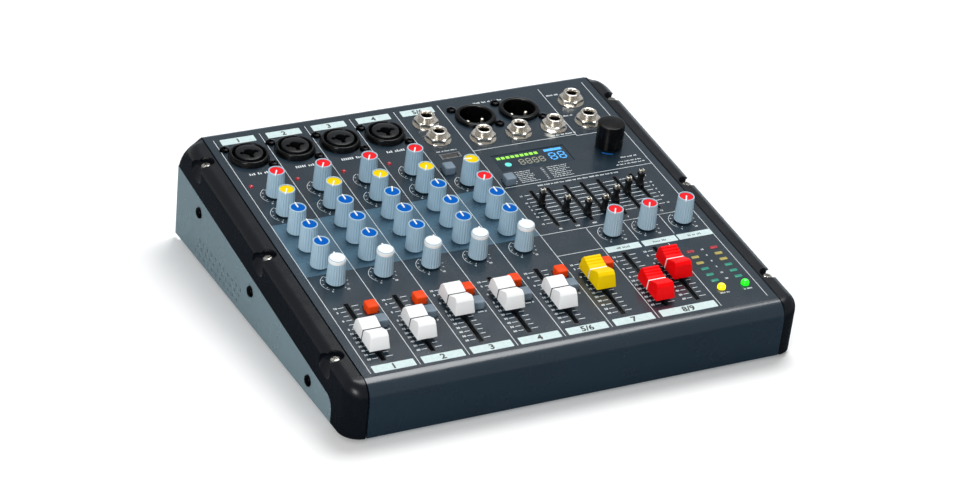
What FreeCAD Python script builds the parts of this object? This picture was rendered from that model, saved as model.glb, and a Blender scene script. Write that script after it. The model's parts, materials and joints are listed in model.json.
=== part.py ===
import FreeCAD, Part
import math
import os

# A small desktop mixing console: a folded steel tray, a folded steel control panel that wraps over the
# front edge, two moulded end cheeks, and the sockets, boards, knobs, faders and buttons between them.
#
# Two frames are used.  The row frame has +Z up, +Y to the rear and its origin under the middle of the
# console.  The panel frame is tilted about X: x across, s up the slope of the panel, h out of the panel,
# with s = 0 at the front ends of the printed divider lines.  All parts are drawn in the panel frame and
# turned into the row frame when they are written.

Vector = FreeCAD.Vector

# ---- driving dimensions, millimetres and degrees ---------------------------------------------------

TILT = 7.8                   # slope of the control panel
FRONT_HEIGHT = 35.7          # panel plane above the underside of the case, at s = 0
FOOT_HEIGHT = 3.0            # rubber feet below the underside
SHEET = 1.2                  # steel sheet thickness
SEAM_GAP = 0.3               # moulded cheek to steel

CASE_HALF_WIDTH = 143.5      # outer faces of the steel side walls and cheeks
PANEL_HALF_WIDTH = 131.3     # seam between panel and cheek
FRONT_S = -12.8              # front face of the panel
REAR_S = 257.0               # rear face of the panel
CHEEK_REAR_S = 260.0         # cheeks and side walls stand proud of the rear wall
FRONT_RADIUS = 10.0          # bend over the front edge
REAR_RADIUS = 4.0            # bend over the rear edge
REAR_FLANGE = 11.0           # depth of the panel's rear flange
CHEEK_DROP = 21.8            # cheek's lower seam below the panel plane
CHEEK_WALL = 2.6
CHEEK_EDGE_RADIUS = 5.0      # rounding along the outer top edge of a cheek
CHEEK_REAR_RUNS = (6.0, 23.0)                    # length of the curve down to the seam at a cheek's
                                                 # rear end: beside the panel, and at the outer side
SIDE_WALL_FRONT_S = 10.8     # steel side wall ends here and the cheek wraps the corner
SIDE_WALL_CORNER = 7.0
CORNER_DEPTH = 13.0          # front corners of the cheeks, seen from above
FOOT_RIB_S = (-5.0, 1.0)     # ribs inside the cheek's front foot
FOOT_RIB = 1.6
TAB_THICKNESS = 2.6          # cheek tabs behind the side screws
REAR_WALL_TOP_H = -5.0       # rear wall stops below the panel's rear bend
REAR_VENT_X = range(-20, 110, 8)
REAR_VENT_RISE = (18.0, 44.0)
FOOT_X = 118.0
FOOT_S = (14.0, 236.0)
FOOT_RADII = (8.0, 7.0)      # where it meets the case, and at its tread

PITCH = 30.0                 # channel strip pitch
FIRST_DIVIDER_X = -126.0
STRIP_COUNT = 6

KNOB_BASE_RADIUS = 5.65
KNOB_TOP_RADIUS = 5.0
KNOB_TOP_H = 17.8
KNOB_GAP = 0.8               # knob skirt above the panel
KNOB_RECESS = 0.8            # sunken cap below the knob's rim
SHAFT_RADIUS = 3.0
SHAFT_DEPTH = 10.0
SHAFT_TOP_H = 10.0
BUSH_CLEARANCE = 0.1
PANEL_HOLE_CLEARANCE = 0.6

FADER_TRAVEL = 45.0
FADER_LEVER = (1.6, 5.0)
FADER_CENTRE_S = 37.7
FADER_SLOT_LENGTH = FADER_TRAVEL + FADER_LEVER[1] + 6.4
FADER_SLOT_WIDTH = 2.8
FADER_OFFSET = 11.9          # slot from the strip's left divider
FADER_CAP_WIDTH_LOW = 12.4
FADER_CAP_WIDTH_HIGH = 10.4
FADER_CAP_LOW_H = 2.4
FADER_CAP_HIGH_H = 12.4
EQ_TRAVEL = 30.0
EQ_LEVER = (1.2, 3.2)
EQ_CENTRE_S = 122.4
EQ_SLOT_LENGTH = EQ_TRAVEL + EQ_LEVER[1] + 6.3
EQ_SLOT_WIDTH = 2.2
EQ_FIRST_X = 39.1
EQ_PITCH = 11.35

BUTTON_SIZE = (7.0, 7.6)
BUTTON_PROUD = 4.6
BUTTON_TRAVEL = 2.0
BUTTON_GAP = 0.4

SOCKET_RADIUS = 12.0         # body of an XLR shell where it passes through the panel
SOCKET_BORE_RADIUS = 9.9
COMBO_COLLAR = (12.9, 11.6, 3.6)                 # radius at the panel, radius at the rim, height
OUTPUT_COLLAR = (13.0, 12.6, 2.5)
SOCKET_DEPTH = 21.0
SOCKET_FLOOR_H = -13.0       # top of the insulator that closes the shell
SOCKET_FLANGE = (27.0, 28.5)
SOCKET_SCREW_OFFSET = (11.6, 11.4)
INSERT_RADIUS = 8.6
INSERT_TOP_H = 4.0
PIN_TOP_H = -1.5
CONTACT_OFFSET = 4.9         # three contacts on this radius
CONTACT_ANGLES = (0, 180, 270)
JACK_THREAD_RADIUS = 5.2
JACK_BORE_RADIUS = 3.35
JACK_PROUD = 7.2
JACK_BODY = (12.4, 12.4)
JACK_WASHER = (8.4, 0.8)     # radius, thickness
JACK_NUT = (7.0, 3.6)        # half the distance across flats, top above the panel

SCREW_HOLE_RADIUS = 1.6
SCREW_HEAD_RADIUS = 3.1
CHEEK_SCREW_HEAD = (3.2, 2.4)                    # radius, height
SIDE_SCREW_HEAD = (3.6, 1.8)
PEAK_LED_RADIUS = 1.5
STATUS_LED_RADIUS = 2.5

MAIN_BOARD_H = -13.0
SOCKET_BOARD_H = -24.0
BOARD_THICKNESS = 1.6
CONTROL_BOARD = (-127.0, 127.0, -1.0, 197.4)     # x low, x high, s low, s high
SOCKET_BOARD = (-127.0, 127.0, 199.4, 246.0)
SUPPLY_BOARD = (-125.0, -40.0, 168.0, 232.0)
SUPPLY_RISE = 6.0            # supply board above the underside of the case
TRANSFORMER = (-100.0, -62.0, 176.0, 208.0)
TRANSFORMER_TOP = 30.0
HEAT_SINK = (-118.0, -106.0, 180.0, 204.0)
HEAT_SINK_TOP = 26.0
CAPACITORS = [(-50.0, 180.0), (-50.0, 196.0)]
CAPACITOR_RADIUS = 5.0
CAPACITOR_HEIGHT = 16.0
PILLAR = 5.0                 # side of a square pillar below the supply board
CONTROL_SIDE = 9.6           # square body of a rotary control or a push switch
FADER_BODY = (9.0, 62.0, -9.4)                   # width, length, h of its underside
EQ_BODY = (8.0, 46.0, -8.4)
STANDOFF_X = (-119.0, 125.0)
STANDOFF_S = (6.0, 72.0, 150.0)

# ---- layout of the panel: places as (x, s), pointers as degrees clockwise from up the slope --------

STRIP_X = [FIRST_DIVIDER_X + PITCH * n for n in range(STRIP_COUNT + 1)]
KNOB_MIN = -150.0
CHANNEL_KNOBS = {            # knob: offset from the divider, s
    "gain": (14.5, 182.0),
    "comp": (13.0, 161.8),
    "high": (12.1, 141.8),
    "mid": (12.1, 123.7),
    "low": (12.1, 105.6),
    "pan": (14.6, 87.3),
}
STEREO_KNOBS = {
    "usb": (12.8, 161.4),
    "gain": (12.6, 142.2),
    "high": (12.3, 124.0),
    "low": (12.3, 105.6),
    "pan": (14.5, 87.3),
}
MASTER_KNOBS = {
    "effect_level": (67.0, 86.6),
    "monitor_level": (90.0, 86.6),
    "phones_level": (114.9, 86.6),
}
POINTERS = {
    "gain": KNOB_MIN, "comp": KNOB_MIN, "high": 0.0, "mid": 0.0, "low": 0.0, "pan": 0.0,
    "usb": -82.0, "effect_level": KNOB_MIN, "monitor_level": KNOB_MIN, "phones_level": KNOB_MIN,
}
TURNED_POINTERS = {"ch3_high": 21.0, "ch3_pan": 26.0, "ch4_pan": 18.0}

FADERS = {                   # fader: x of the slot, s of the cap's line at rest
    "ch1": (STRIP_X[0] + FADER_OFFSET, 28.0),
    "ch2": (STRIP_X[1] + FADER_OFFSET, 30.4),
    "ch3": (STRIP_X[2] + FADER_OFFSET, 45.2),
    "ch4": (STRIP_X[3] + FADER_OFFSET, 41.6),
    "ch5": (STRIP_X[4] + FADER_OFFSET, 33.6),
    "effect": (STRIP_X[5] + FADER_OFFSET, 44.6),
    "main_left": (64.0, 24.4),
    "main_right": (84.5, 40.9),
}
EQ_REST_S = [126.6, 116.0, 109.8, 109.8, 117.4, 123.6, 128.9]
ENCODER = (108.7, 174.6)
ENCODER_RADIUS = 8.6
ENCODER_TOP_H = 17.4

MUTE_OFFSET = (23.8, 56.7)
SOLO_OFFSET = (23.8, 42.4)
SELECT_BUTTONS = [(-0.2, 176.6), (30.8, 155.0)]

COMBO_SOCKETS = [(STRIP_X[n] + 14.3, 225.0) for n in range(4)]
MALE_SOCKETS = [(41.7, 228.6), (72.1, 228.6)]
JACKS = [(8.2, 230.3), (8.2, 211.4), (36.2, 205.2), (60.5, 204.6), (84.9, 204.6), (109.0, 204.8),
         (109.0, 229.4)]
USB_PORT = (8.3, 192.0)
USB_SIZE = (13.4, 5.4)

DISPLAY_CENTRE = (56.4, 175.2)
DISPLAY_SIZE = (49.6, 18.8)
PEAK_LEDS = [(STRIP_X[n] + 3.9, 194.2) for n in range(4)]
METER_X = (103.4, 119.2)
METER_S = [55.0 - 6.2 * n for n in range(6)]
METER_SIZE = (5.0, 2.5)
STATUS_LEDS = [(103.6, 16.3), (119.2, 16.0)]

CHEEK_SCREW_S = (22.0, 125.0, 228.0)
CHEEK_SCREW_X = 138.0
POCKET_RADIUS = 5.0
POCKET_FLOOR_H = -4.5
SCOOP_RADIUS = 8.0           # round scoop that opens each pocket to the outer side
SCOOP_X = 140.6
SCOOP_OFFSET = (2.0, -10.5)  # middle of the scoop behind its screw, and below the panel plane
SIDE_SCREWS = [(43.5, -31.8), (134.5, -31.8), (221.0, -31.8)]

VENT_COUNT = 11
VENT_PITCH = 6.9
VENT_RADIUS = 1.3
VENT_ROWS = [(154.5, 15.2), (157.9, 10.2), (161.4, 5.2)]    # first hole's distance behind s = 0, height

INLET_X, INLET_SIZE = -70.0, (27.4, 19.8)
ROCKER_X, ROCKER_OPENING = -112.0, (13.0, 19.2)
REAR_FITTING_RISE = 30.0     # middle of inlet and rocker above the underside of the case
ROCKER_SWING = 10.0          # each way from level
ROCKER_PIN_RADIUS = 1.0
REAR_SCREW_X = (-120.0, -60.0, 0.0, 60.0, 120.0)
REAR_SCREW_H = -6.5

# ---- the two frames --------------------------------------------------------------------------------

SIN = math.sin(math.radians(TILT))
COS = math.cos(math.radians(TILT))


def floor_h(s, lift=0.0):
    """h of the point at s that stands a given height above the underside of the case."""
    return (lift - FRONT_HEIGHT - s * SIN) / COS


def depth_of(s, h):
    """Distance behind the panel frame's origin, along the row's Y."""
    return s * COS - h * SIN


FRONTMOST = depth_of(FRONT_S + FRONT_RADIUS, -FRONT_RADIUS) - FRONT_RADIUS
REARMOST = depth_of(CHEEK_REAR_S, floor_h(CHEEK_REAR_S))
ORIGIN_Y = -(FRONTMOST + REARMOST) / 2.0
ORIGIN_Z = FOOT_HEIGHT + FRONT_HEIGHT
PANEL_FRAME = FreeCAD.Placement(Vector(0, ORIGIN_Y, ORIGIN_Z),
                                FreeCAD.Rotation(Vector(1, 0, 0), TILT))


def save(name, solids):
    """Write one node: its solids, turned from the panel frame into the row frame."""
    shape = solids[0] if len(solids) == 1 else Part.makeCompound(solids)
    shape = shape.copy()
    shape.Placement = PANEL_FRAME.multiply(shape.Placement)
    shape.exportStep("parts/" + name + ".step")


# ---- simple solids in the panel frame --------------------------------------------------------------

def block(centre, size, h_low, h_high):
    """A rectangular block centred on (x, s)."""
    corner = Vector(centre[0] - size[0] / 2.0, centre[1] - size[1] / 2.0, h_low)
    return Part.makeBox(size[0], size[1], h_high - h_low, corner)


def disc(centre, radius, h_low, h_high):
    """A round bar that stands on the panel."""
    return Part.makeCylinder(radius, h_high - h_low, Vector(centre[0], centre[1], h_low))


def taper(centre, low_radius, high_radius, h_low, h_high):
    return Part.makeCone(low_radius, high_radius, h_high - h_low, Vector(centre[0], centre[1], h_low))


def prism(points, x_low, x_high):
    """An outline of (s, h) points, extruded across the console."""
    wire = Part.makePolygon([Vector(x_low, s, h) for s, h in points + points[:1]])
    return Part.Face(wire).extrude(Vector(x_high - x_low, 0, 0))


def across(s, h, radius, x_low, x_high):
    """A round bar along X."""
    return Part.makeCylinder(radius, x_high - x_low, Vector(x_low, s, h), Vector(1, 0, 0))


def along(x, h, radius, s_low, s_high):
    """A round bar along the slope."""
    return Part.makeCylinder(radius, s_high - s_low, Vector(x, s_low, h), Vector(0, 1, 0))


def domed(centre, radius, h_low, h_high):
    """A round bar whose upper edge is rounded over."""
    bar = disc(centre, radius, h_low, h_high)
    return bar.makeFillet(min(radius, h_high - h_low) * 0.6, [rim(bar, h_high)])


def rim(shape, h):
    """The round edge of a bar at height h."""
    return [e for e in shape.Edges if e.Closed and abs(e.CenterOfMass.z - h) < 1e-6][0]


def hex_nut(centre, flat_radius, hole_radius, h_low, h_high):
    corner = flat_radius / math.cos(math.radians(30))
    ring = [Vector(centre[0] + corner * math.cos(math.radians(60 * n)),
                   centre[1] + corner * math.sin(math.radians(60 * n)), h_low) for n in range(6)]
    body = Part.Face(Part.makePolygon(ring + ring[:1])).extrude(Vector(0, 0, h_high - h_low))
    return body.cut(disc(centre, hole_radius, h_low - 1, h_high + 1))


def turned(shape, centre, clockwise):
    """Turn a shape about the panel normal through (x, s)."""
    shape = shape.copy()
    shape.rotate(Vector(centre[0], centre[1], 0), Vector(0, 0, 1), -clockwise)
    return shape


def mirrored(shape):
    return shape.mirror(Vector(0, 0, 0), Vector(1, 0, 0))


# ---- lists of places that several parts share ------------------------------------------------------

def knob_places():
    """Every panel knob: name, (x, s) and the angle of its pointer at rest."""
    places = []
    for n in range(4):
        for row, (offset, s) in CHANNEL_KNOBS.items():
            name = "ch%d_%s" % (n + 1, row)
            places.append((name, (STRIP_X[n] + offset, s), TURNED_POINTERS.get(name, POINTERS[row])))
    for row, (offset, s) in STEREO_KNOBS.items():
        places.append(("ch5_" + row, (STRIP_X[4] + offset, s), POINTERS[row]))
    for name, place in MASTER_KNOBS.items():
        places.append((name, place, POINTERS[name]))
    return places


def button_places():
    """Six mute buttons, five solo buttons and two selector buttons."""
    mute = [(x + MUTE_OFFSET[0], MUTE_OFFSET[1]) for x in STRIP_X[:6]]
    solo = [(x + SOLO_OFFSET[0], SOLO_OFFSET[1]) for x in STRIP_X[:5]]
    return mute + solo + SELECT_BUTTONS


def eq_places():
    return [EQ_FIRST_X + EQ_PITCH * n for n in range(len(EQ_REST_S))]


def socket_screw_places():
    dx, ds = SOCKET_SCREW_OFFSET
    places = []
    for x, s in COMBO_SOCKETS + MALE_SOCKETS:
        places.append((x - dx, s + ds))
        places.append((x + dx, s - ds))
    return places


def meter_places():
    return [(x, s) for x in METER_X for s in METER_S]


# ---- case ------------------------------------------------------------------------------------------

def case_outline(inset):
    """Side outline of the case, moved inwards by inset, from below the floor up and over the panel."""
    front, rear, top = FRONT_S + inset, REAR_S - inset, -inset
    front_radius, rear_radius = FRONT_RADIUS - inset, REAR_RADIUS - inset
    low = floor_h(rear) - 1.0
    lean = math.sqrt(0.5)

    def point(s, h):
        return Vector(0, s, h)

    front_low, front_high = point(front, low), point(front, top - front_radius)
    front_mid = point(front + front_radius * (1 - lean), top - front_radius * (1 - lean))
    top_front, top_rear = point(front + front_radius, top), point(rear - rear_radius, top)
    rear_mid = point(rear - rear_radius * (1 - lean), top - rear_radius * (1 - lean))
    rear_high, rear_low = point(rear, top - rear_radius), point(rear, low)
    edges = [
        Part.makeLine(front_low, front_high),
        Part.Arc(front_high, front_mid, top_front).toShape(),
        Part.makeLine(top_front, top_rear),
        Part.Arc(top_rear, rear_mid, rear_high).toShape(),
        Part.makeLine(rear_high, rear_low),
        Part.makeLine(rear_low, front_low),
    ]
    return Part.Face(Part.Wire(edges))


def outline_solid(inset, x_low, x_high):
    shape = case_outline(inset).extrude(Vector(x_high - x_low, 0, 0))
    shape.translate(Vector(x_low, 0, 0))
    return shape


def below_floor(lift=0.0):
    """Everything lower than a given height above the underside."""
    reach = 400.0
    s_low, s_high = FRONT_S - 40.0, CHEEK_REAR_S + 40.0
    points = [(s_low, floor_h(s_low, lift)), (s_high, floor_h(s_high, lift)),
              (s_high, -reach), (s_low, -reach)]
    return prism(points, -reach, reach)


def panel_openings():
    """Every hole and slot through the control panel."""
    low, high = -2.0 * SHEET, SHEET
    holes = [disc(p, SHAFT_RADIUS + PANEL_HOLE_CLEARANCE, low, high) for _, p, _ in knob_places()]
    holes.append(disc(ENCODER, SHAFT_RADIUS + PANEL_HOLE_CLEARANCE, low, high))
    for x, _ in FADERS.values():
        holes.append(block((x, FADER_CENTRE_S), (FADER_SLOT_WIDTH, FADER_SLOT_LENGTH), low, high))
    for x in eq_places():
        holes.append(block((x, EQ_CENTRE_S), (EQ_SLOT_WIDTH, EQ_SLOT_LENGTH), low, high))
    button_hole = [side + 2 * BUTTON_GAP for side in BUTTON_SIZE]
    holes += [block(p, button_hole, low, high) for p in button_places()]
    holes += [disc(p, SOCKET_RADIUS + 0.2, low, high) for p in COMBO_SOCKETS + MALE_SOCKETS]
    holes += [disc(p, SCREW_HOLE_RADIUS, low, high) for p in socket_screw_places()]
    holes += [disc(p, JACK_THREAD_RADIUS + 0.15, low, high) for p in JACKS]
    holes += [disc(p, PEAK_LED_RADIUS + 0.1, low, high) for p in PEAK_LEDS]
    holes += [disc(p, STATUS_LED_RADIUS + 0.1, low, high) for p in STATUS_LEDS]
    holes += [block(p, METER_SIZE, low, high) for p in meter_places()]
    holes.append(block(DISPLAY_CENTRE, DISPLAY_SIZE, low, high))
    holes.append(block(USB_PORT, USB_SIZE, low, high))
    return holes


def top_panel():
    """Steel sheet: front face, front bend, control panel, rear bend and a short rear flange."""
    width = PANEL_HALF_WIDTH - SEAM_GAP / 2.0
    sheet = outline_solid(0.0, -width, width).cut(outline_solid(SHEET, -width - 1, width + 1))
    sheet = sheet.cut(below_floor())
    rear_cut = prism([(REAR_S - 20, -REAR_FLANGE), (REAR_S + 20, -REAR_FLANGE), (REAR_S + 20, -120),
                      (REAR_S - 20, -120)], -width - 1, width + 1)
    return sheet.cut(rear_cut).cut(panel_openings() + rear_screw_holes())


def side_wall_outline(gap=0.0):
    """Outline of a steel side wall, with its rounded upper front corner; gap widens it all round."""
    front, seam = SIDE_WALL_FRONT_S - gap, -CHEEK_DROP - SEAM_GAP + gap
    radius = SIDE_WALL_CORNER + gap
    lean = radius * (1 - math.sqrt(0.5))
    corners = [Vector(0, front, floor_h(front)), Vector(0, front, seam - radius),
               Vector(0, front + radius, seam), Vector(0, CHEEK_REAR_S, seam),
               Vector(0, CHEEK_REAR_S, floor_h(CHEEK_REAR_S))]
    middle = Vector(0, front + lean, seam - lean)
    edges = [
        Part.makeLine(corners[0], corners[1]),
        Part.Arc(corners[1], middle, corners[2]).toShape(),
        Part.makeLine(corners[2], corners[3]),
        Part.makeLine(corners[3], corners[4]),
        Part.makeLine(corners[4], corners[0]),
    ]
    return Part.Face(Part.Wire(edges))


def vent_holes():
    """Three staggered rows of round holes through both side walls, level with the underside."""
    holes = []
    for first, rise in VENT_ROWS:
        for n in range(VENT_COUNT):
            s = (first + VENT_PITCH * n + (rise - FRONT_HEIGHT) * SIN / COS) * COS
            holes.append(across(s, floor_h(s, rise), VENT_RADIUS, -CASE_HALF_WIDTH - 1, CASE_HALF_WIDTH + 1))
    return holes


def rear_opening(x, size):
    """A rectangular cut through the rear wall, level with the rear fittings."""
    middle_h = floor_h(REAR_S, REAR_FITTING_RISE)
    return block((x, REAR_S), (size[0], 12.0), middle_h - size[1] / 2.0, middle_h + size[1] / 2.0)


def rear_vents():
    """A row of upright slots through the rear wall."""
    low, high = [floor_h(REAR_S, rise) for rise in REAR_VENT_RISE]
    return [block((x, REAR_S), (2.4, 12.0), low, high) for x in REAR_VENT_X]


def rear_screw_holes():
    return [along(x, REAR_SCREW_H, SCREW_HOLE_RADIUS, REAR_S - 6, REAR_S + 6) for x in REAR_SCREW_X]


def bottom_tray():
    """Folded steel tray: floor, two side walls and the rear wall."""
    inside = CASE_HALF_WIDTH - SHEET
    front, rear = FRONT_S + SHEET, REAR_S - SHEET
    floor_narrow = prism([(front, floor_h(front)), (rear, floor_h(rear)), (rear, floor_h(rear, SHEET)),
                          (front, floor_h(front, SHEET))], -PANEL_HALF_WIDTH + 1, PANEL_HALF_WIDTH - 1)
    wide_front = SIDE_WALL_FRONT_S
    floor_wide = prism([(wide_front, floor_h(wide_front)), (rear, floor_h(rear)),
                        (rear, floor_h(rear, SHEET)), (wide_front, floor_h(wide_front, SHEET))],
                       -inside, inside)
    rear_wall = prism([(rear - SHEET, floor_h(rear)), (rear, floor_h(rear)), (rear, REAR_WALL_TOP_H),
                       (rear - SHEET, REAR_WALL_TOP_H)], -PANEL_HALF_WIDTH + 1, PANEL_HALF_WIDTH - 1)
    rear_skirt = prism([(rear - SHEET, floor_h(rear)), (rear, floor_h(rear)), (rear, -CHEEK_DROP - 1),
                        (rear - SHEET, -CHEEK_DROP - 1)], -inside, inside)
    side = side_wall_outline().extrude(Vector(SHEET, 0, 0))
    left, right = side.copy(), side.copy()
    left.translate(Vector(-CASE_HALF_WIDTH, 0, 0))
    right.translate(Vector(inside, 0, 0))
    tray = floor_narrow.fuse([floor_wide, rear_wall, rear_skirt, left, right]).removeSplitter()
    openings = vent_holes() + rear_vents() + rear_screw_holes()
    openings += [rear_opening(INLET_X, INLET_SIZE), rear_opening(ROCKER_X, ROCKER_OPENING)]
    openings += [across(s, h, SCREW_HOLE_RADIUS, -CASE_HALF_WIDTH - 1, CASE_HALF_WIDTH + 1)
                 for s, h in SIDE_SCREWS]
    return tray.cut(openings)


def quarter_ellipse(centre, long_end, short_end):
    """Arc from an end of an ellipse's long axis to an end of its short axis."""
    return Part.ArcOfEllipse(Part.Ellipse(long_end, short_end, centre), 0.0, math.pi / 2).toShape()


def face_of(edges):
    return Part.Face(Part.Wire(edges))


def front_corner(inset):
    """Front corner of a cheek: rounded in plan, its top edge easing from the panel's bend to the side."""
    inner, outer = PANEL_HALF_WIDTH + SEAM_GAP / 2.0, CASE_HALF_WIDTH - inset
    pole = Vector(inner, FRONT_S + CORNER_DEPTH, -inset)
    tip, side = Vector(inner, FRONT_S + inset, -inset), Vector(outer, pole.y, -inset)
    plan = face_of([quarter_ellipse(pole, tip, side), Part.makeLine(side, pole), Part.makeLine(pole, tip)])
    corner = plan.extrude(Vector(0, 0, -100.0))
    edge = [e for e in corner.Edges if abs(e.CenterOfMass.z + inset) < 1e-6 and e.Length > CORNER_DEPTH][0]
    return corner.makeFillet(FRONT_RADIUS - inset, CHEEK_EDGE_RADIUS - inset, [edge])


def side_outline(x, run, inset):
    """Side outline of the cheek behind its front corner, x across: level, then curving down."""
    front, rear, seam = FRONT_S + CORNER_DEPTH, CHEEK_REAR_S - inset, -CHEEK_DROP
    crest, tail = Vector(x, rear - run, -inset), Vector(x, rear, seam)
    long_end, short_end = (tail, crest) if run > CHEEK_DROP - inset else (crest, tail)
    return Part.Wire([
        quarter_ellipse(Vector(x, rear - run, seam), long_end, short_end),
        Part.makeLine(crest, Vector(x, front, -inset)),
        Part.makeLine(Vector(x, front, -inset), Vector(x, front, seam)),
        Part.makeLine(Vector(x, front, seam), tail),
    ])


def long_shoulder(inset):
    """The cheek behind its front corner, with a rounded outer edge and a rear end that curves down."""
    inner, outer = PANEL_HALF_WIDTH + SEAM_GAP / 2.0, CASE_HALF_WIDTH - inset
    inner_run, outer_run = CHEEK_REAR_RUNS
    body = Part.makeLoft([side_outline(inner, inner_run, inset), side_outline(outer, outer_run, inset)],
                         True, True)
    outer_edges = [e for e in body.Edges if abs(e.CenterOfMass.x - outer) < 1e-6
                   and e.CenterOfMass.z > 1.0 - CHEEK_DROP and e.Length > outer_run]
    return body.makeFillet(CHEEK_EDGE_RADIUS - inset, outer_edges)


def cheek_body(inset):
    """Whole cheek moved inwards by inset: front corner, front foot and long shoulder."""
    inner, outer = PANEL_HALF_WIDTH + SEAM_GAP / 2.0, CASE_HALF_WIDTH - inset
    foot_s = (FRONT_S + CORNER_DEPTH, SIDE_WALL_FRONT_S + SIDE_WALL_CORNER)
    foot = block(((inner + outer) / 2.0, sum(foot_s) / 2.0), (outer - inner, foot_s[1] - foot_s[0]),
                 -100.0, -CHEEK_DROP)
    behind = side_wall_outline(SEAM_GAP).extrude(Vector(30, 0, 0))
    behind.translate(Vector(PANEL_HALF_WIDTH - 5, 0, 0))
    return long_shoulder(inset).fuse([front_corner(inset), foot]).cut([behind, below_floor()])


def right_cheek():
    """Moulded cheek: a hollow shoulder with screw bosses, scooped pockets, fixing tabs and a ribbed foot."""
    behind, below = SCOOP_OFFSET
    side = CASE_HALF_WIDTH + 1.0
    keep = [disc((CHEEK_SCREW_X, s), POCKET_RADIUS + 1.4, -60, 0) for s in CHEEK_SCREW_S]
    keep += [across(s + behind, below, SCOOP_RADIUS + 1.4, SCOOP_X - 1.6, side) for s in CHEEK_SCREW_S]
    keep.append(block((PANEL_HALF_WIDTH, FRONT_S), (2 * CHEEK_WALL, 600), -60, 5))
    keep.append(block((PANEL_HALF_WIDTH, CHEEK_REAR_S), (60, 2 * CHEEK_WALL), -60, 5))
    keep += [block((PANEL_HALF_WIDTH, s), (60, FOOT_RIB), -60, 5) for s in FOOT_RIB_S]
    pockets = [disc((CHEEK_SCREW_X, s), POCKET_RADIUS, POCKET_FLOOR_H, 5) for s in CHEEK_SCREW_S]
    pockets += [across(s + behind, below, SCOOP_RADIUS, SCOOP_X, side) for s in CHEEK_SCREW_S]
    screw_holes = [disc((CHEEK_SCREW_X, s), SCREW_HOLE_RADIUS, -60, 5) for s in CHEEK_SCREW_S]
    tab_x = CASE_HALF_WIDTH - SHEET - SEAM_GAP - TAB_THICKNESS / 2.0
    tabs = [block((tab_x, s), (TAB_THICKNESS, 16.0), h - 5.5, -CHEEK_DROP + 6.0) for s, h in SIDE_SCREWS]
    side_holes = [across(s, h, SCREW_HOLE_RADIUS - 0.2, PANEL_HALF_WIDTH, CASE_HALF_WIDTH)
                  for s, h in SIDE_SCREWS]
    hollow = cheek_body(CHEEK_WALL).cut(keep)
    return cheek_body(0.0).cut([hollow] + pockets + screw_holes).fuse(tabs).cut(side_holes)


def rubber_feet():
    """Four round feet under the floor, one near each corner."""
    feet = []
    for x in (-FOOT_X, FOOT_X):
        for s in FOOT_S:
            feet.append(Part.makeCone(*FOOT_RADII, FOOT_HEIGHT, Vector(x, s, floor_h(s)),
                                      Vector(0, -SIN, -COS)))
    return feet


def case_screws():
    """Cheek screws, side screws, socket screws and the screws of the panel's rear flange."""
    screws = []
    for side in (-1, 1):
        for s in CHEEK_SCREW_S:
            place = (side * CHEEK_SCREW_X, s)
            radius, height = CHEEK_SCREW_HEAD
            screws.append(domed(place, radius, POCKET_FLOOR_H, POCKET_FLOOR_H + height)
                          .fuse(disc(place, 1.4, -24.0, POCKET_FLOOR_H)))
        for s, h in SIDE_SCREWS:
            radius, height = SIDE_SCREW_HEAD
            screw = across(s, h, radius, CASE_HALF_WIDTH, CASE_HALF_WIDTH + height)
            screw = screw.fuse(across(s, h, 1.3, CASE_HALF_WIDTH - 9, CASE_HALF_WIDTH))
            screws.append(screw if side > 0 else mirrored(screw))
    for place in socket_screw_places():
        screws.append(domed(place, SCREW_HEAD_RADIUS, 0.0, 2.0).fuse(disc(place, 1.3, -7.0, 0.0)))
    for x in REAR_SCREW_X:
        screws.append(along(x, REAR_SCREW_H, SCREW_HEAD_RADIUS, REAR_S, REAR_S + 1.6)
                      .fuse(along(x, REAR_SCREW_H, 1.3, REAR_S - 7.0, REAR_S)))
    return screws


# ---- sockets ---------------------------------------------------------------------------------------

def socket_shell(place, collar):
    """Round tube of an XLR socket: a collar above the panel and a flange that bolts up under it."""
    low_radius, high_radius, top = collar
    shell = disc(place, SOCKET_RADIUS, -SOCKET_DEPTH, 0.0)
    shell = shell.fuse(taper(place, low_radius, high_radius, 0.0, top))
    shell = shell.fuse(block(place, SOCKET_FLANGE, -SHEET - 2.4, -SHEET))
    dx, ds = SOCKET_SCREW_OFFSET
    holes = [disc((place[0] + sign * dx, place[1] - sign * ds), 1.3, -10, -0.5) for sign in (-1, 1)]
    return shell.cut([disc(place, SOCKET_BORE_RADIUS, -SOCKET_DEPTH - 1, 5)] + holes)


def contact_places(place):
    return [(place[0] + CONTACT_OFFSET * math.cos(math.radians(angle)),
             place[1] + CONTACT_OFFSET * math.sin(math.radians(angle))) for angle in CONTACT_ANGLES]


def combo_socket(place):
    """XLR and phone jack in one shell: the insert has a jack bore and three contact holes."""
    insert = disc(place, INSERT_RADIUS, SOCKET_FLOOR_H, INSERT_TOP_H)
    insert = insert.fuse(disc(place, SOCKET_BORE_RADIUS, -SOCKET_DEPTH, SOCKET_FLOOR_H))
    cuts = [disc(place, JACK_BORE_RADIUS, SOCKET_FLOOR_H, 5)]
    cuts += [disc(contact, 1.6, -9.0, 5) for contact in contact_places(place)]
    return [socket_shell(place, COMBO_COLLAR), insert.cut(cuts)]


def male_socket(place):
    """XLR output: an insulator with three pins in its shell."""
    insulator = disc(place, SOCKET_BORE_RADIUS, -SOCKET_DEPTH, SOCKET_FLOOR_H)
    pins = [domed(contact, 1.2, SOCKET_FLOOR_H, PIN_TOP_H) for contact in contact_places(place)]
    return [socket_shell(place, OUTPUT_COLLAR), insulator] + pins


def xlr_sockets():
    solids = []
    for place in COMBO_SOCKETS:
        solids += combo_socket(place)
    for place in MALE_SOCKETS:
        solids += male_socket(place)
    return solids


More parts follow.
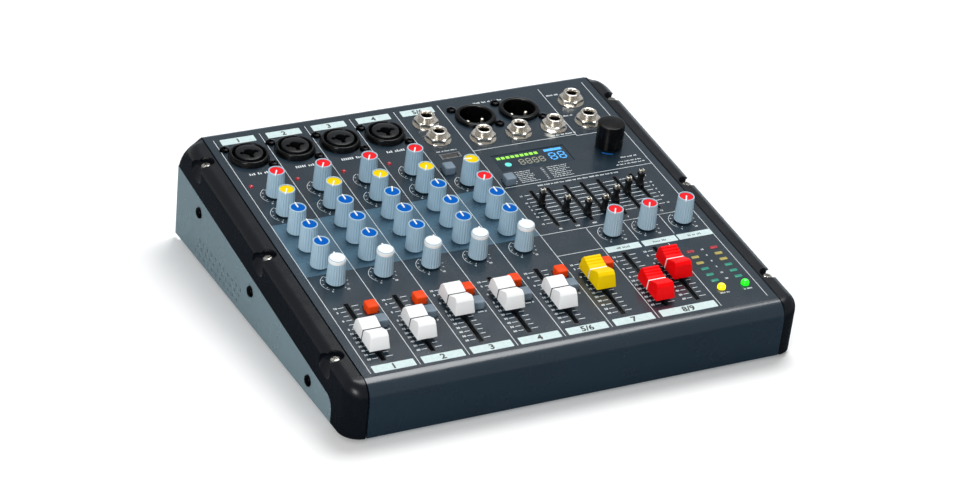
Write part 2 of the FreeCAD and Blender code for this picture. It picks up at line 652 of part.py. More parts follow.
def phone_jacks():
    """Seven quarter-inch jacks: a body below the panel, a threaded barrel, a washer and a nut."""
    solids = []
    for place in JACKS:
        body = block(place, JACK_BODY, -19.0, -SHEET)
        body = body.fuse(disc(place, JACK_THREAD_RADIUS, -SHEET, JACK_PROUD))
        washer_radius, washer_top = JACK_WASHER
        nut_flat, nut_top = JACK_NUT
        solids.append(body.cut(disc(place, JACK_BORE_RADIUS, -17.0, 10)))
        solids.append(disc(place, washer_radius, 0.0, washer_top).cut(disc(place, JACK_THREAD_RADIUS, -1, 2)))
        solids.append(hex_nut(place, nut_flat, JACK_THREAD_RADIUS, washer_top, nut_top))
    return solids


# ---- display and lamps -----------------------------------------------------------------------------

def display_and_leds():
    """Display window and module, clip lamps, level meters and status lamps."""
    window = [side - 0.2 for side in DISPLAY_SIZE]
    solids = [block(DISPLAY_CENTRE, window, -SHEET, -0.3)]
    solids.append(block(DISPLAY_CENTRE, (54.0, 22.0), -9.0, -SHEET))
    solids += [domed(place, PEAK_LED_RADIUS, -5.0, 1.2) for place in PEAK_LEDS]
    solids += [domed(place, STATUS_LED_RADIUS, -6.0, 3.0) for place in STATUS_LEDS]
    meter = [side - 0.2 for side in METER_SIZE]
    solids += [block(place, meter, -5.0, 0.3) for place in meter_places()]
    return solids


# ---- boards and what is soldered to them -----------------------------------------------------------

def pot_body(place):
    """Rotary control below a knob, with a bush for the shaft."""
    body = block(place, (CONTROL_SIDE, CONTROL_SIDE), MAIN_BOARD_H, -6.0)
    return body.cut(disc(place, SHAFT_RADIUS + BUSH_CLEARANCE, -SHAFT_DEPTH - 0.8, 0))


def slider_body(x, middle_s, size, slot):
    """Slide control below a slot: a steel trough, open along its top."""
    width, length, h_low = size
    body = block((x, middle_s), (width, length), h_low, -SHEET)
    return body.cut(block((x, middle_s), slot, h_low + 0.8, 0))


def switch_body(place):
    """Push switch below a button, with a well for the stem."""
    body = block(place, (CONTROL_SIDE, CONTROL_SIDE), MAIN_BOARD_H, -6.6)
    return body.cut(block(place, (3.8, 3.8), MAIN_BOARD_H, 0))


def stem_low_h():
    """Foot of a button's stem, with room for its travel above the board."""
    return MAIN_BOARD_H + BUTTON_TRAVEL + 1.0


def board(x_low, x_high, s_low, s_high, top_h):
    middle = ((x_low + x_high) / 2.0, (s_low + s_high) / 2.0)
    return block(middle, (x_high - x_low, s_high - s_low), top_h - BOARD_THICKNESS, top_h)


def floor_block(x_low, x_high, s_low, s_high, lift_low, lift_high):
    """A block that stands level, at a given height above the underside."""
    points = [(s_low, floor_h(s_low, lift_low)), (s_high, floor_h(s_high, lift_low)),
              (s_high, floor_h(s_high, lift_high)), (s_low, floor_h(s_low, lift_high))]
    return prism(points, x_low, x_high)


def power_supply():
    """Supply board on pillars, with a transformer, two capacitors and a heat sink."""
    x_low, x_high, s_low, s_high = SUPPLY_BOARD
    board_top = SUPPLY_RISE + BOARD_THICKNESS
    solids = [floor_block(x_low, x_high, s_low, s_high, SUPPLY_RISE, board_top)]
    solids.append(floor_block(*TRANSFORMER, board_top, TRANSFORMER_TOP))
    solids.append(floor_block(*HEAT_SINK, board_top, HEAT_SINK_TOP))
    for x, s in CAPACITORS:
        foot = floor_h(s, board_top) + 1.0
        solids.append(disc((x, s), CAPACITOR_RADIUS, foot, foot + CAPACITOR_HEIGHT))
    half = PILLAR / 2.0
    for x in (x_low + PILLAR, x_high - PILLAR):
        for s in (s_low + PILLAR, s_high - PILLAR):
            solids.append(floor_block(x - half, x + half, s - half, s + half, SHEET, SUPPLY_RISE))
    return solids


def mains_inlet():
    """Three-blade mains inlet through the rear wall."""
    middle_h = floor_h(REAR_S, REAR_FITTING_RISE)
    outer = REAR_S - SHEET

    def rear_block(width, height, s_low, s_high, x=0.0, rise=0.0):
        return block((INLET_X + x, (s_low + s_high) / 2.0), (width, s_high - s_low),
                     middle_h + rise - height / 2.0, middle_h + rise + height / 2.0)

    housing = rear_block(INLET_SIZE[0] - 0.4, INLET_SIZE[1] - 0.4, outer - 21.0, outer)
    housing = housing.fuse(rear_block(31.0, 26.0, outer, outer + 2.0))
    housing = housing.cut(rear_block(24.0, 16.4, outer - 17.0, outer + 3.0))
    blades = [(-7.0, -2.0), (0.0, 2.0), (7.0, -2.0)]
    return [housing] + [rear_block(2.0, 4.0, outer - 19.0, outer - 6.0, x, rise) for x, rise in blades]


def rocker_pivot():
    return REAR_S - SHEET - 1.0, floor_h(REAR_S, REAR_FITTING_RISE)


def rocker_housing():
    """Bezel and body of the power switch, with the pin that the paddle tips on."""
    middle_h = floor_h(REAR_S, REAR_FITTING_RISE)
    outer = REAR_S - SHEET
    width, height = ROCKER_OPENING[0] - 0.4, ROCKER_OPENING[1] - 0.4
    place = (ROCKER_X, outer - 8.0)
    body = block(place, (width, 16.0), middle_h - height / 2.0, middle_h + height / 2.0)
    bezel = block((ROCKER_X, outer + 0.8), (width + 2.4, 1.6), middle_h - height / 2.0 - 1.2,
                  middle_h + height / 2.0 + 1.2)
    well = block((ROCKER_X, outer - 2.0), (10.4, 14.0), middle_h - 8.6, middle_h + 8.6)
    pin = across(*rocker_pivot(), ROCKER_PIN_RADIUS, ROCKER_X - 5.4, ROCKER_X + 5.4)
    return body.fuse(bezel).cut(well).fuse(pin)


def usb_port():
    outer = block(USB_PORT, (13.2, 5.2), MAIN_BOARD_H, 0.2)
    cavity = block(USB_PORT, (12.2, 4.5), MAIN_BOARD_H + 1.0, 1.0)
    tongue = block((USB_PORT[0], USB_PORT[1] + 1.1), (11.0, 1.8), MAIN_BOARD_H + 1.0, -2.0)
    return [outer.cut(cavity), tongue]


def circuit_boards():
    """Control board, socket board and supply, and the controls and fittings soldered to them."""
    solids = [board(*CONTROL_BOARD, MAIN_BOARD_H), board(*SOCKET_BOARD, SOCKET_BOARD_H)]
    solids += [pot_body(place) for _, place, _ in knob_places()] + [pot_body(ENCODER)]
    slot = (FADER_SLOT_WIDTH, FADER_SLOT_LENGTH)
    solids += [slider_body(x, FADER_CENTRE_S, FADER_BODY, slot) for x, _ in FADERS.values()]
    slot = (EQ_SLOT_WIDTH, EQ_SLOT_LENGTH)
    solids += [slider_body(x, EQ_CENTRE_S, EQ_BODY, slot) for x in eq_places()]
    solids += [switch_body(place) for place in button_places()]
    for x in STANDOFF_X:
        for s in STANDOFF_S:
            solids.append(hex_nut((x, s), 2.4, 1.2, MAIN_BOARD_H, -SHEET))
    return solids + usb_port() + power_supply() + mains_inlet() + [rocker_housing()]


# ---- controls that move ----------------------------------------------------------------------------

def shaft(place):
    return disc(place, SHAFT_RADIUS, -SHAFT_DEPTH, SHAFT_TOP_H)


def knob(place, pointer):
    """Tapered skirt with a sunken cap and a raised pointer bar, on its control shaft."""
    stem = shaft(place)
    skirt = taper(place, KNOB_BASE_RADIUS, KNOB_TOP_RADIUS, KNOB_GAP, KNOB_TOP_H)
    sunken = disc(place, KNOB_TOP_RADIUS - KNOB_RECESS, KNOB_TOP_H - KNOB_RECESS, KNOB_TOP_H + 1)
    bar = block((place[0], place[1] + 2.2), (0.9, 4.4), KNOB_TOP_H - KNOB_RECESS - 0.2, KNOB_TOP_H)
    return [skirt.cut([sunken, stem]).fuse(turned(bar, place, pointer)), stem]


def encoder_knob():
    """Tall round menu knob with a softened top edge."""
    stem = shaft(ENCODER)
    body = disc(ENCODER, ENCODER_RADIUS, 1.0, ENCODER_TOP_H)
    return [body.makeFillet(0.8, [rim(body, ENCODER_TOP_H)]).cut(stem), stem]


def fader_cap_profile(s):
    """Side outline of a fader cap: two crests with a finger hollow and a line groove between them."""
    steps = [(12.4, FADER_CAP_LOW_H), (11.0, 9.2), (9.0, 10.8), (7.0, 10.9), (0.6, 9.2), (0.4, 8.7),
             (-0.4, 8.7), (-0.6, 9.3), (-7.6, 12.1), (-9.2, 12.0), (-10.6, 10.6), (-12.0, FADER_CAP_LOW_H)]
    return [(s + step, h) for step, h in steps]


def fader(x, s):
    """Fader cap on the flat steel lever of its slide control."""
    lever = block((x, s), FADER_LEVER, -8.0, 6.0)
    low, high = FADER_CAP_WIDTH_LOW / 2.0, FADER_CAP_WIDTH_HIGH / 2.0
    cap = prism(fader_cap_profile(s), x - low, x + low)
    section = [Vector(x - low, s - 20, FADER_CAP_LOW_H), Vector(x + low, s - 20, FADER_CAP_LOW_H),
               Vector(x + high, s - 20, FADER_CAP_HIGH_H), Vector(x - high, s - 20, FADER_CAP_HIGH_H)]
    trapezium = Part.Face(Part.makePolygon(section + section[:1])).extrude(Vector(0, 40, 0))
    return [cap.common(trapezium).cut(lever), lever]


def eq_slider(x, s):
    """Narrow lever knob of one equaliser band, with a bright forked tip."""
    lever = block((x, s), EQ_LEVER, -7.0, 2.0)
    cap = block((x, s), (3.4, 6.4), 0.6, 3.0).fuse(block((x, s), (3.0, 3.4), 3.0, 9.4)).cut(lever)
    tip = block((x, s), (3.6, 3.4), 9.4, 11.4).cut(block((x, s), (1.6, 5.0), 10.2, 12.0))
    return [cap, tip, lever]


def push_buttons():
    """Square button caps with their stems; each stands in its opening in the panel."""
    solids = []
    for place in button_places():
        cap = block(place, BUTTON_SIZE, -3.4, BUTTON_PROUD)
        top = [e for e in cap.Edges if abs(e.CenterOfMass.z - BUTTON_PROUD) < 1e-6]
        solids.append(cap.makeFillet(0.8, top).fuse(block(place, (3.0, 3.0), stem_low_h(), -3.4)))
    return solids


def power_rocker():
    """Rocker paddle with a shallow hollow face, tipped to the on side."""
    s, h = rocker_pivot()
    points = [(s - 4.0, h - 2.5), (s - 4.0, h + 2.5), (s + 3.0, h + 7.6), (s + 4.0, h + 7.4),
              (s + 2.6, h), (s + 4.0, h - 7.4), (s + 3.0, h - 7.6)]
    paddle = prism(points, ROCKER_X - 4.8, ROCKER_X + 4.8)
    paddle.rotate(Vector(0, s, h), Vector(1, 0, 0), ROCKER_SWING)
    return [paddle.cut(across(s, h, ROCKER_PIN_RADIUS + 0.05, ROCKER_X - 5, ROCKER_X + 5))]


# ---- write the nodes -------------------------------------------------------------------------------

def main():
    os.makedirs("parts", exist_ok=True)
    right = right_cheek()
    save("bottom_tray", [bottom_tray()])
    save("top_panel", [top_panel()])
    save("right_cheek", [right])
    save("left_cheek", [mirrored(right)])
    save("rubber_feet", rubber_feet())
    save("case_screws", case_screws())
    save("xlr_sockets", xlr_sockets())
    save("phone_jacks", phone_jacks())
    save("display_and_leds", display_and_leds())
    save("circuit_boards", circuit_boards())
    for name, place, pointer in knob_places():
        save(name + "_knob", knob(place, pointer))
    save("encoder_knob", encoder_knob())
    for name, (x, s) in FADERS.items():
        save(name + "_fader", fader(x, s))
    for n, (x, s) in enumerate(zip(eq_places(), EQ_REST_S)):
        save("eq_slider_%d" % (n + 1), eq_slider(x, s))
    save("push_buttons", push_buttons())
    save("power_rocker", power_rocker())


if __name__ == "__main__":
    main()
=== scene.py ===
import json
import math
import random

import bmesh
import bpy
from mathutils import Matrix, Vector


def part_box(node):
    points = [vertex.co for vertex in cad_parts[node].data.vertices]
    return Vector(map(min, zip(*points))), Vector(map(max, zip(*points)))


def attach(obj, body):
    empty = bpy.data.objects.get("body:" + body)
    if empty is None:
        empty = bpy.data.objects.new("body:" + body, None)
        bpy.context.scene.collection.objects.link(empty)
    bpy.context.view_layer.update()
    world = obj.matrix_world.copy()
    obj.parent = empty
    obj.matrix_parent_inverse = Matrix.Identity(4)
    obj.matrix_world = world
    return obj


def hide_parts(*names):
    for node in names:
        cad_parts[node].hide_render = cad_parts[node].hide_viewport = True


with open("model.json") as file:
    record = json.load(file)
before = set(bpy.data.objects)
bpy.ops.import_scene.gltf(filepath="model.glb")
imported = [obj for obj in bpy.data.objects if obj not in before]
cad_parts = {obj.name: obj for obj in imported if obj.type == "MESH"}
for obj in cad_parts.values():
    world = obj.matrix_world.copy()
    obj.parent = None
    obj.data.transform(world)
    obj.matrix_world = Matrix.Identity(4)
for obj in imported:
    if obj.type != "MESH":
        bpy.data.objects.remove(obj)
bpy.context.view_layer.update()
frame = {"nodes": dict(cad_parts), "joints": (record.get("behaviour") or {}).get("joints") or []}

# Looks of a small desktop mixing console.  Shapes are drawn in millimetres in the panel's own frame
# (x across, s up the slope, h out of the panel, s = 0 at the front ends of the divider lines) and are
# then placed on the CAD frame, which is in metres.

MM = 0.001
random.seed(7)

# ---- layout of the panel, millimetres ----

PANEL_FRONT_S = -12.8
PANEL_HALF_WIDTH = 131.3
CASE_HALF_WIDTH = 143.5
CHEEK_REAR_S = 260.0
PITCH = 30.0
STRIP_X = [-126.0 + PITCH * n for n in range(6)]
DIVIDER_TOP_S = 248.5

COMBO_SOCKETS = [(STRIP_X[n] + 14.3, 225.0) for n in range(4)]
MALE_SOCKETS = [(41.7, 228.6), (72.1, 228.6)]
SOCKET_SCREW_OFFSET = (11.6, 11.4)
JACKS = [(8.2, 230.3), (8.2, 211.4), (36.2, 205.2), (60.5, 204.6), (84.9, 204.6), (109.0, 204.8),
         (109.0, 229.4)]
DISPLAY_CENTRE = (56.4, 175.2)
DISPLAY_SIZE = (49.4, 18.6)
PEAK_LAMPS = [(STRIP_X[n] + 3.9, 194.2) for n in range(4)]
METER_X = (103.4, 119.2)
METER_S = [55.0 - 6.2 * n for n in range(6)]
METER_SIZE = (4.8, 2.3)
STATUS_LAMPS = [(103.6, 16.3), (119.2, 16.0)]
MUTE_BUTTONS = [(x + 23.8, 56.7) for x in STRIP_X]
SOLO_BUTTONS = [(x + 23.8, 42.4) for x in STRIP_X[:5]]
SELECT_BUTTONS = [(-0.2, 176.6), (30.8, 155.0)]
BUTTON_SIZE = (7.0, 7.6)

CHEEK_SCREW_X, CHEEK_SCREW_S = 138.0, (22.0, 125.0, 228.0)
SIDE_SCREWS = [(43.5, -31.8), (134.5, -31.8), (221.0, -31.8)]
REAR_SCREW_X = (-120.0, -60.0, 0.0, 60.0, 120.0)
REAR_SCREW_H = -6.5
POCKET_RADIUS, POCKET_FLOOR_H = 5.0, -4.5
SCOOP_RADIUS, SCOOP_X, SCOOP_OFFSET, SCOOP_TILT = 8.0, 140.9, (2.0, -10.5), 58.0

FADER_OFFSET, FADER_CENTRE_S = 11.9, 37.7
FADER_X = [x + FADER_OFFSET for x in STRIP_X] + [64.0, 84.5]
EQ_X = [39.1 + 11.35 * n for n in range(7)]
EQ_CENTRE_S = 122.4
BAND_S = (96.4, 151.6)       # printed blue-grey band behind the tone knobs

# ---- the panel's frame, from the CAD's joints ----

JOINTS = {joint["name"]: joint for joint in frame["joints"]}
NORMAL = -Vector(JOINTS["ch1_low_turn"]["axis"]).normalized()
SLOPE = Vector(JOINTS["ch1_fader_slide"]["axis"]).normalized()
ACROSS = Vector((1, 0, 0))


def panel_matrix():
    """Placement of the panel frame in the row frame, in metres."""
    anchor = Vector(JOINTS["ch1_low_turn"]["pos_m"])
    front = min(v.co.dot(SLOPE) for v in frame["nodes"]["top_panel"].data.vertices)
    origin = anchor + SLOPE * (front - PANEL_FRONT_S * MM - anchor.dot(SLOPE))
    origin.x = 0.0
    axes = Matrix((ACROSS, SLOPE, NORMAL)).transposed().to_4x4()
    return Matrix.Translation(origin) @ axes


PANEL = panel_matrix()
UNDERSIDE_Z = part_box("bottom_tray")[0].z


def floor_h(s, lift=0.0):
    """h of the point at s that stands a given height above the case's underside."""
    level = (UNDERSIDE_Z - PANEL.translation.z) / MM + lift
    return (level - s * SLOPE.z) / NORMAL.z


def joint_place(name):
    """(x, s) in millimetres of a joint's point."""
    local = PANEL.inverted() @ Vector(JOINTS[name]["pos_m"])
    return local.x / MM, local.y / MM


# ---- finishes: every one is a procedural node tree ----

def linear(colour):
    """A screen colour (red, green, blue) out of 255, as linear light."""
    channels = [c / 255.0 for c in colour]
    return [c / 12.92 if c <= 0.04045 else ((c + 0.055) / 1.055) ** 2.4 for c in channels] + [1.0]


def fill(node, values):
    """Set a node's inputs by name."""
    for name, value in values.items():
        node.inputs[name].default_value = value


class Finish:
    """A Principled material whose colour, roughness and relief vary with procedural noise."""

    def __init__(self, name, slot, colour, roughness, metallic=0.0):
        self.material = bpy.data.materials.new(name)
        self.material.use_nodes = True
        self.material["slot"] = slot
        self.tree = self.material.node_tree
        self.shader = self.tree.nodes["Principled BSDF"]
        self.colour = linear(colour)
        self.roughness = roughness
        self.settings(Metallic=metallic)
        self.base = None
        self.heights = []
        self.coordinates = self.node("ShaderNodeTexCoord").outputs["Object"]

    def node(self, kind, **settings):
        made = self.tree.nodes.new(kind)
        for key, value in settings.items():
            setattr(made, key, value)
        return made

    def feed(self, value, target):
        """Link an output socket, or set a plain value."""
        if isinstance(value, bpy.types.NodeSocket):
            self.tree.links.new(value, target)
        else:
            target.default_value = value

    def settings(self, **values):
        """Set inputs of the shader, with _ for the spaces in their names."""
        fill(self.shader, {name.replace("_", " "): value for name, value in values.items()})
        return self

    def math(self, operation, first, second=None):
        """A Math node on two sockets or numbers."""
        made = self.node("ShaderNodeMath", operation=operation)
        for socket, value in zip(made.inputs, (first, second)):
            if value is not None:
                self.feed(value, socket)
        return made.outputs[0]

    def noise(self, scale, detail=3.0, stretch=(1, 1, 1)):
        """Noise in object space; scale is in features per metre."""
        mapping = self.node("ShaderNodeMapping")
        mapping.inputs["Scale"].default_value = stretch
        self.feed(self.coordinates, mapping.inputs["Vector"])
        made = self.node("ShaderNodeTexNoise")
        fill(made, {"Scale": scale, "Detail": detail})
        self.feed(mapping.outputs[0], made.inputs["Vector"])
        return made.outputs["Fac"]

    def spread(self, factor, low, high):
        """Map noise from its usual reach onto low..high."""
        made = self.node("ShaderNodeMapRange")
        self.feed(factor, made.inputs["Value"])
        fill(made, {"From Min": 0.3, "From Max": 0.7, "To Min": low, "To Max": high})
        return made.outputs["Result"]

    def mix(self, factor, first, second):
        """Mix two colours, each a socket or a list."""
        made = self.node("ShaderNodeMix", data_type="RGBA")
        for entry, value in ((0, factor), (6, first), (7, second)):
            self.feed(value, made.inputs[entry])
        return made.outputs[2]

    def mottle(self, amount, scale):
        """Let the colour wander a little around its middle value."""
        dark = [c * (1 - amount) for c in self.colour[:3]] + [1.0]
        light = [min(1.0, c * (1 + amount)) for c in self.colour[:3]] + [1.0]
        self.base = self.mix(self.spread(self.noise(scale), 0.0, 1.0), dark, light)
        return self

    def relief(self, factor, depth):
        """Add a bump of a given depth in metres."""
        bump = self.node("ShaderNodeBump")
        fill(bump, {"Strength": 1.0, "Distance": depth})
        self.feed(factor, bump.inputs["Height"])
        if self.heights:
            self.feed(self.heights[-1], bump.inputs["Normal"])
        self.heights.append(bump.outputs["Normal"])
        return self

    def wear(self, spread, scale):
        """Let the roughness wander."""
        low, high = self.roughness - spread, self.roughness + spread
        self.feed(self.spread(self.noise(scale), low, high), self.shader.inputs["Roughness"])
        return self

    def glow(self, strength):
        return self.settings(Emission_Color=self.colour, Emission_Strength=strength)

    def coat(self, weight, roughness):
        return self.settings(Coat_Weight=weight, Coat_Roughness=roughness)

    def done(self):
        self.feed(self.colour if self.base is None else self.base, self.shader.inputs["Base Color"])
        if not self.shader.inputs["Roughness"].is_linked:
            self.settings(Roughness=self.roughness)
        if self.heights:
            self.feed(self.heights[-1], self.shader.inputs["Normal"])
        return self.material


def moulding(name, slot, colour, roughness, grain=0.000012, mottle=0.06, shine=0.22):
    """Injection-moulded plastic: fine spark-eroded grain, faint flow marks, uneven sheen."""
    made = Finish(name, slot, colour, roughness).mottle(mottle, 60.0).wear(0.05, 140.0)
    made.settings(Specular_IOR_Level=shine)
    return made.relief(made.noise(2600.0), grain).done()


def cheek_plastic():
    """Smooth dark satin plastic of the end cheeks."""
    made = Finish("cheek_black", "black_plastic", (12, 16, 22), 0.28)
    made.mottle(0.05, 40.0).wear(0.03, 90.0).settings(Specular_IOR_Level=0.3)
    return made.relief(made.noise(2600.0), 0.0000006).done()


def bright_metal(name, slot, colour, roughness, streak=(1, 1, 1)):
    """Plated or turned metal with fine tool marks and slightly uneven plating."""
    made = Finish(name, slot, colour, roughness, 1.0).mottle(0.08, 220.0).wear(0.05, 500.0)
    return made.relief(made.noise(1800.0, 4.0, streak), 0.000002).done()


def lamp(name, colour, strength):
    """Tinted lens over a small lamp: brighter in the middle of its grain, with a clear skin."""
    made = Finish(name, "display_window", colour, 0.18).mottle(0.2, 700.0).coat(0.6, 0.05)
    made.relief(made.noise(900.0), 0.00001)
    return made.glow(strength).done()


def ink(name, colour, roughness=0.45):
    """Screen-printed ink, a little thin in places."""
    made = Finish(name, "painted_steel", colour, roughness).mottle(0.07, 450.0).wear(0.08, 300.0)
    return made.relief(made.noise(3000.0), 0.000004).done()


def powder_coat(name, colour, banded=False):
    """Satin powder coat: orange-peel skin, fine pigment grain, and the printed band on the panel."""
    made = Finish(name, "painted_steel", colour, 0.26).mottle(0.03, 25.0).wear(0.03, 60.0)
    made.coat(0.22, 0.08)
    made.relief(made.noise(900.0, 2.0), 0.000001)
    made.relief(made.noise(3600.0, 2.0), 0.0000006)
    if banded:
        made.base = made.mix(band_mask(made), made.base, linear((74, 106, 126)))
    return made.done()


def band_mask(made):
    """One inside the blue-grey print behind the tone knobs of the five channel strips."""
    spot = made.node("ShaderNodeSeparateXYZ")
    made.feed(made.coordinates, spot.inputs[0])
    x, y, z = spot.outputs
    along = made.math("ADD", made.math("MULTIPLY", y, SLOPE.y), made.math("MULTIPLY", z, SLOPE.z))
    start = PANEL.translation.dot(SLOPE)

    def between(value, low, high):
        off_centre = made.math("ABSOLUTE", made.math("SUBTRACT", value, (low + high) / 2))
        return made.math("LESS_THAN", off_centre, (high - low) / 2)

    inside_s = between(along, start + BAND_S[0] * MM, start + BAND_S[1] * MM)
    inside_x = between(x, STRIP_X[0] * MM, STRIP_X[5] * MM)
    patchy = made.spread(made.noise(300.0), 0.88, 1.0)
    return made.math("MULTIPLY", made.math("MULTIPLY", inside_s, inside_x), patchy)


def laminate():
    """Green board laminate with darker track rows."""
    made = Finish("board_laminate", "board_laminate", (20, 92, 52), 0.4)
    tracks = made.node("ShaderNodeTexBrick")
    made.feed(made.coordinates, tracks.inputs["Vector"])
    fill(tracks, {"Scale": 140.0, "Color1": linear((20, 96, 56)), "Color2": linear((16, 78, 44)),
                  "Mortar": linear((120, 104, 48))})
    made.base = tracks.outputs["Color"]
    return made.relief(tracks.outputs["Fac"], 0.00003).done()


def floor_finish():
    """Pale studio sweep."""
    made = Finish("studio_floor", "", (250, 250, 250), 0.8).mottle(0.004, 3.0)
    return made.glow(FLOOR_GLOW).done()


FLOOR_GLOW = 0.12
# Side plates: their powder coat, lightened to grey-teal as a painted reflection of the bright floor.
PLATE_COAT_WITH_PAINTED_REFLECTION = powder_coat("plate_coat_painted_reflection", (126, 146, 154))
PANEL_PAINT = powder_coat("panel_coat", (28, 44, 56), banded=True)
CHEEK_BLACK = cheek_plastic()
SOCKET_BLACK = moulding("socket_black", "socket_plastic", (8, 8, 9), 0.22)
SOCKET_INSERT = moulding("socket_insert", "socket_plastic", (16, 17, 19), 0.3)
SKIRT_GREY = moulding("skirt_grey", "knob_grey", (176, 204, 220), 0.32, mottle=0.03, shine=0.4)
CAP_RED = moulding("cap_red", "knob_grey", (236, 36, 44), 0.45, shine=0.03)
CAP_YELLOW = moulding("cap_yellow", "knob_grey", (252, 208, 2), 0.45, shine=0.03)
CAP_BLUE = moulding("cap_blue", "knob_grey", (0, 92, 184), 0.5, shine=0.02)
CAP_WHITE = moulding("cap_white", "knob_grey", (248, 250, 250), 0.45, mottle=0.02)
ENCODER_BLACK = moulding("encoder_black", "encoder_black", (8, 8, 10), 0.24)
FADER_WHITE = moulding("fader_white", "fader_white", (250, 251, 251), 0.4, mottle=0.015)
FADER_YELLOW = moulding("fader_yellow", "fader_yellow", (255, 214, 0), 0.42, shine=0.1)
FADER_RED = moulding("fader_red", "fader_red", (252, 2, 10), 0.42, shine=0.12)
LINE_DARK = moulding("line_dark", "fader_white", (34, 36, 42), 0.5)
LEVER_BLACK = moulding("lever_black", "lever_black", (13, 13, 15), 0.35)
BUTTON_ORANGE = moulding("button_orange", "button_caps", (255, 76, 20), 0.42, shine=0.12)
BUTTON_GREY = moulding("button_grey", "button_caps", (120, 136, 150), 0.42)
SWITCH_BLACK = moulding("switch_black", "switch_black", (14, 14, 16), 0.35)
RUBBER = moulding("foot_rubber", "foot_rubber", (22, 22, 23), 0.8, 0.00003)
CONTROL_BODY = bright_metal("control_body", "plated_metal", (170, 172, 176), 0.35)
CORE_BLACK = moulding("core_black", "socket_plastic", (26, 26, 28), 0.5)
NICKEL = bright_metal("nickel", "plated_metal", (236, 230, 220), 0.24)
DARK_BORE = moulding("dark_bore", "plated_metal", (16, 14, 12), 0.4)
SCREW_BLACK = bright_metal("screw_black", "screw_steel", (22, 22, 24), 0.2)
PIN_SILVER = bright_metal("pin_silver", "plated_metal", (246, 240, 226), 0.38)
SCREW_BRIGHT = bright_metal("screw_bright", "screw_steel", (216, 214, 208), 0.2)
LEVER_STEEL = bright_metal("lever_steel", "plated_metal", (190, 192, 196), 0.25, (1, 1, 0.1))
WINDOW_DARK = moulding("window_dark", "display_window", (46, 58, 68), 0.12, 0.000002)
INK_WHITE = ink("ink_white", (226, 234, 236))
INK_PALE = ink("ink_pale", (206, 226, 226))
INK_DARK = ink("ink_dark", (10, 12, 15))
# Blue of the small arc at the encoder's front-left foot, given the ink finish.
ENCODER_FOOT_BLUE = ink("encoder_foot_blue", (30, 120, 210))
BOARD = laminate()


# ---- mesh building ----

def placed(name, data):
    """New object in the scene."""
    obj = bpy.data.objects.new(name, data)
    bpy.context.scene.collection.objects.link(obj)
    return obj


def ring(radius, h, count=48, centre=(0.0, 0.0)):
    """Points of a circle at height h; radius may be a function of the angle."""
    points = []
    for n in range(count):
        angle = 2 * math.pi * n / count
        reach = radius(angle) if callable(radius) else radius
        points.append((centre[0] + reach * math.cos(angle), centre[1] + reach * math.sin(angle), h))
    return points


def rounded_ring(width, length, radius, h, inset=0.0, steps=4, centre=(0.0, 0.0)):
    """Points of a rectangle with round corners at height h."""
    points = []
    radius = max(radius - inset, 0.02)
    for quarter in range(4):
        sx, sy = ((1, 1), (-1, 1), (-1, -1), (1, -1))[quarter]
        middle = (sx * (width / 2 - inset - radius), sy * (length / 2 - inset - radius))
        for n in range(steps + 1):
            angle = math.pi / 2 * (quarter + n / steps)
            points.append((centre[0] + middle[0] + radius * math.cos(angle),
                           centre[1] + middle[1] + radius * math.sin(angle), h))
    return points


def loft(bm, rings, finish=0, looped=False):
    """Skin a stack of rings that have equal counts.  Open stacks get flat ends."""
    rows = [[bm.verts.new(p) for p in points] for points in rings]
    uppers = rows[1:] + (rows[:1] if looped else [])
    for low, high in zip(rows, uppers):
        for n in range(len(low)):
            face = bm.faces.new((low[n - 1], low[n], high[n], high[n - 1]))
            face.material_index = finish
    if not looped:
        bm.faces.new(rows[0][::-1]).material_index = finish
        bm.faces.new(rows[-1]).material_index = finish
    return rows


def lathe(bm, profile, count=48, centre=(0.0, 0.0), finish=0, looped=False):
    """Solid of revolution from (radius, h) steps."""
    loft(bm, [ring(radius, h, count, centre) for radius, h in profile], finish, looped)


def soft_block(bm, width, length, low, high, radius=0.6, soft=0.5, centre=(0.0, 0.0), finish=0):
    """Block with round upright edges and a softened top."""
    steps = [(0.0, low), (0.0, high - soft)]
    steps += [(soft * (1 - math.cos(a)), high - soft + soft * math.sin(a))
              for a in (math.pi / 6, math.pi / 3, math.pi / 2)]
    rings = [rounded_ring(width, length, radius + soft, h, inset, centre=centre) for inset, h in steps]
    loft(bm, rings, finish)


def lofted(name, rings, sharp=32.0, looped=False):
    """Mesh of one lofted skin."""
    bm = bmesh.new()
    loft(bm, rings, looped=looped)
    return finish_mesh(bm, name, sharp)


def turned(name, profile, count=48, sharp=32.0, looped=False):
    """Mesh of one solid of revolution."""
    return lofted(name, [ring(radius, h, count) for radius, h in profile], sharp, looped)


def block_mesh(name, width, length, low, high, radius, soft):
    """Mesh of one soft block."""
    bm = bmesh.new()
    soft_block(bm, width, length, low, high, radius, soft)
    return finish_mesh(bm, name)


def slab(bm, corners, low, high, finish=0):
    """Flat plate from an outline of (x, s) corners."""
    loft(bm, [[(x, s, low) for x, s in corners], [(x, s, high) for x, s in corners]], finish)


def bar(bm, centre, width, length, low, high, finish=0):
    x, s = centre
    signs = ((-1, -1), (1, -1), (1, 1), (-1, 1))
    slab(bm, [(x + i * width / 2, s + j * length / 2) for i, j in signs], low, high, finish)


def finish_mesh(bm, name, sharp=32.0):
    """Weld, face outwards, scale to metres and shade."""
    bmesh.ops.remove_doubles(bm, verts=bm.verts, dist=2e-5)
    bmesh.ops.dissolve_degenerate(bm, edges=bm.edges, dist=1e-6)
    bmesh.ops.recalc_face_normals(bm, faces=bm.faces)
    bm.transform(Matrix.Scale(MM, 4))
    mesh = bpy.data.meshes.new(name)
    bm.to_mesh(mesh)
    bm.free()
    mesh.shade_smooth()
    mesh.set_sharp_from_angle(angle=math.radians(sharp))
    return mesh


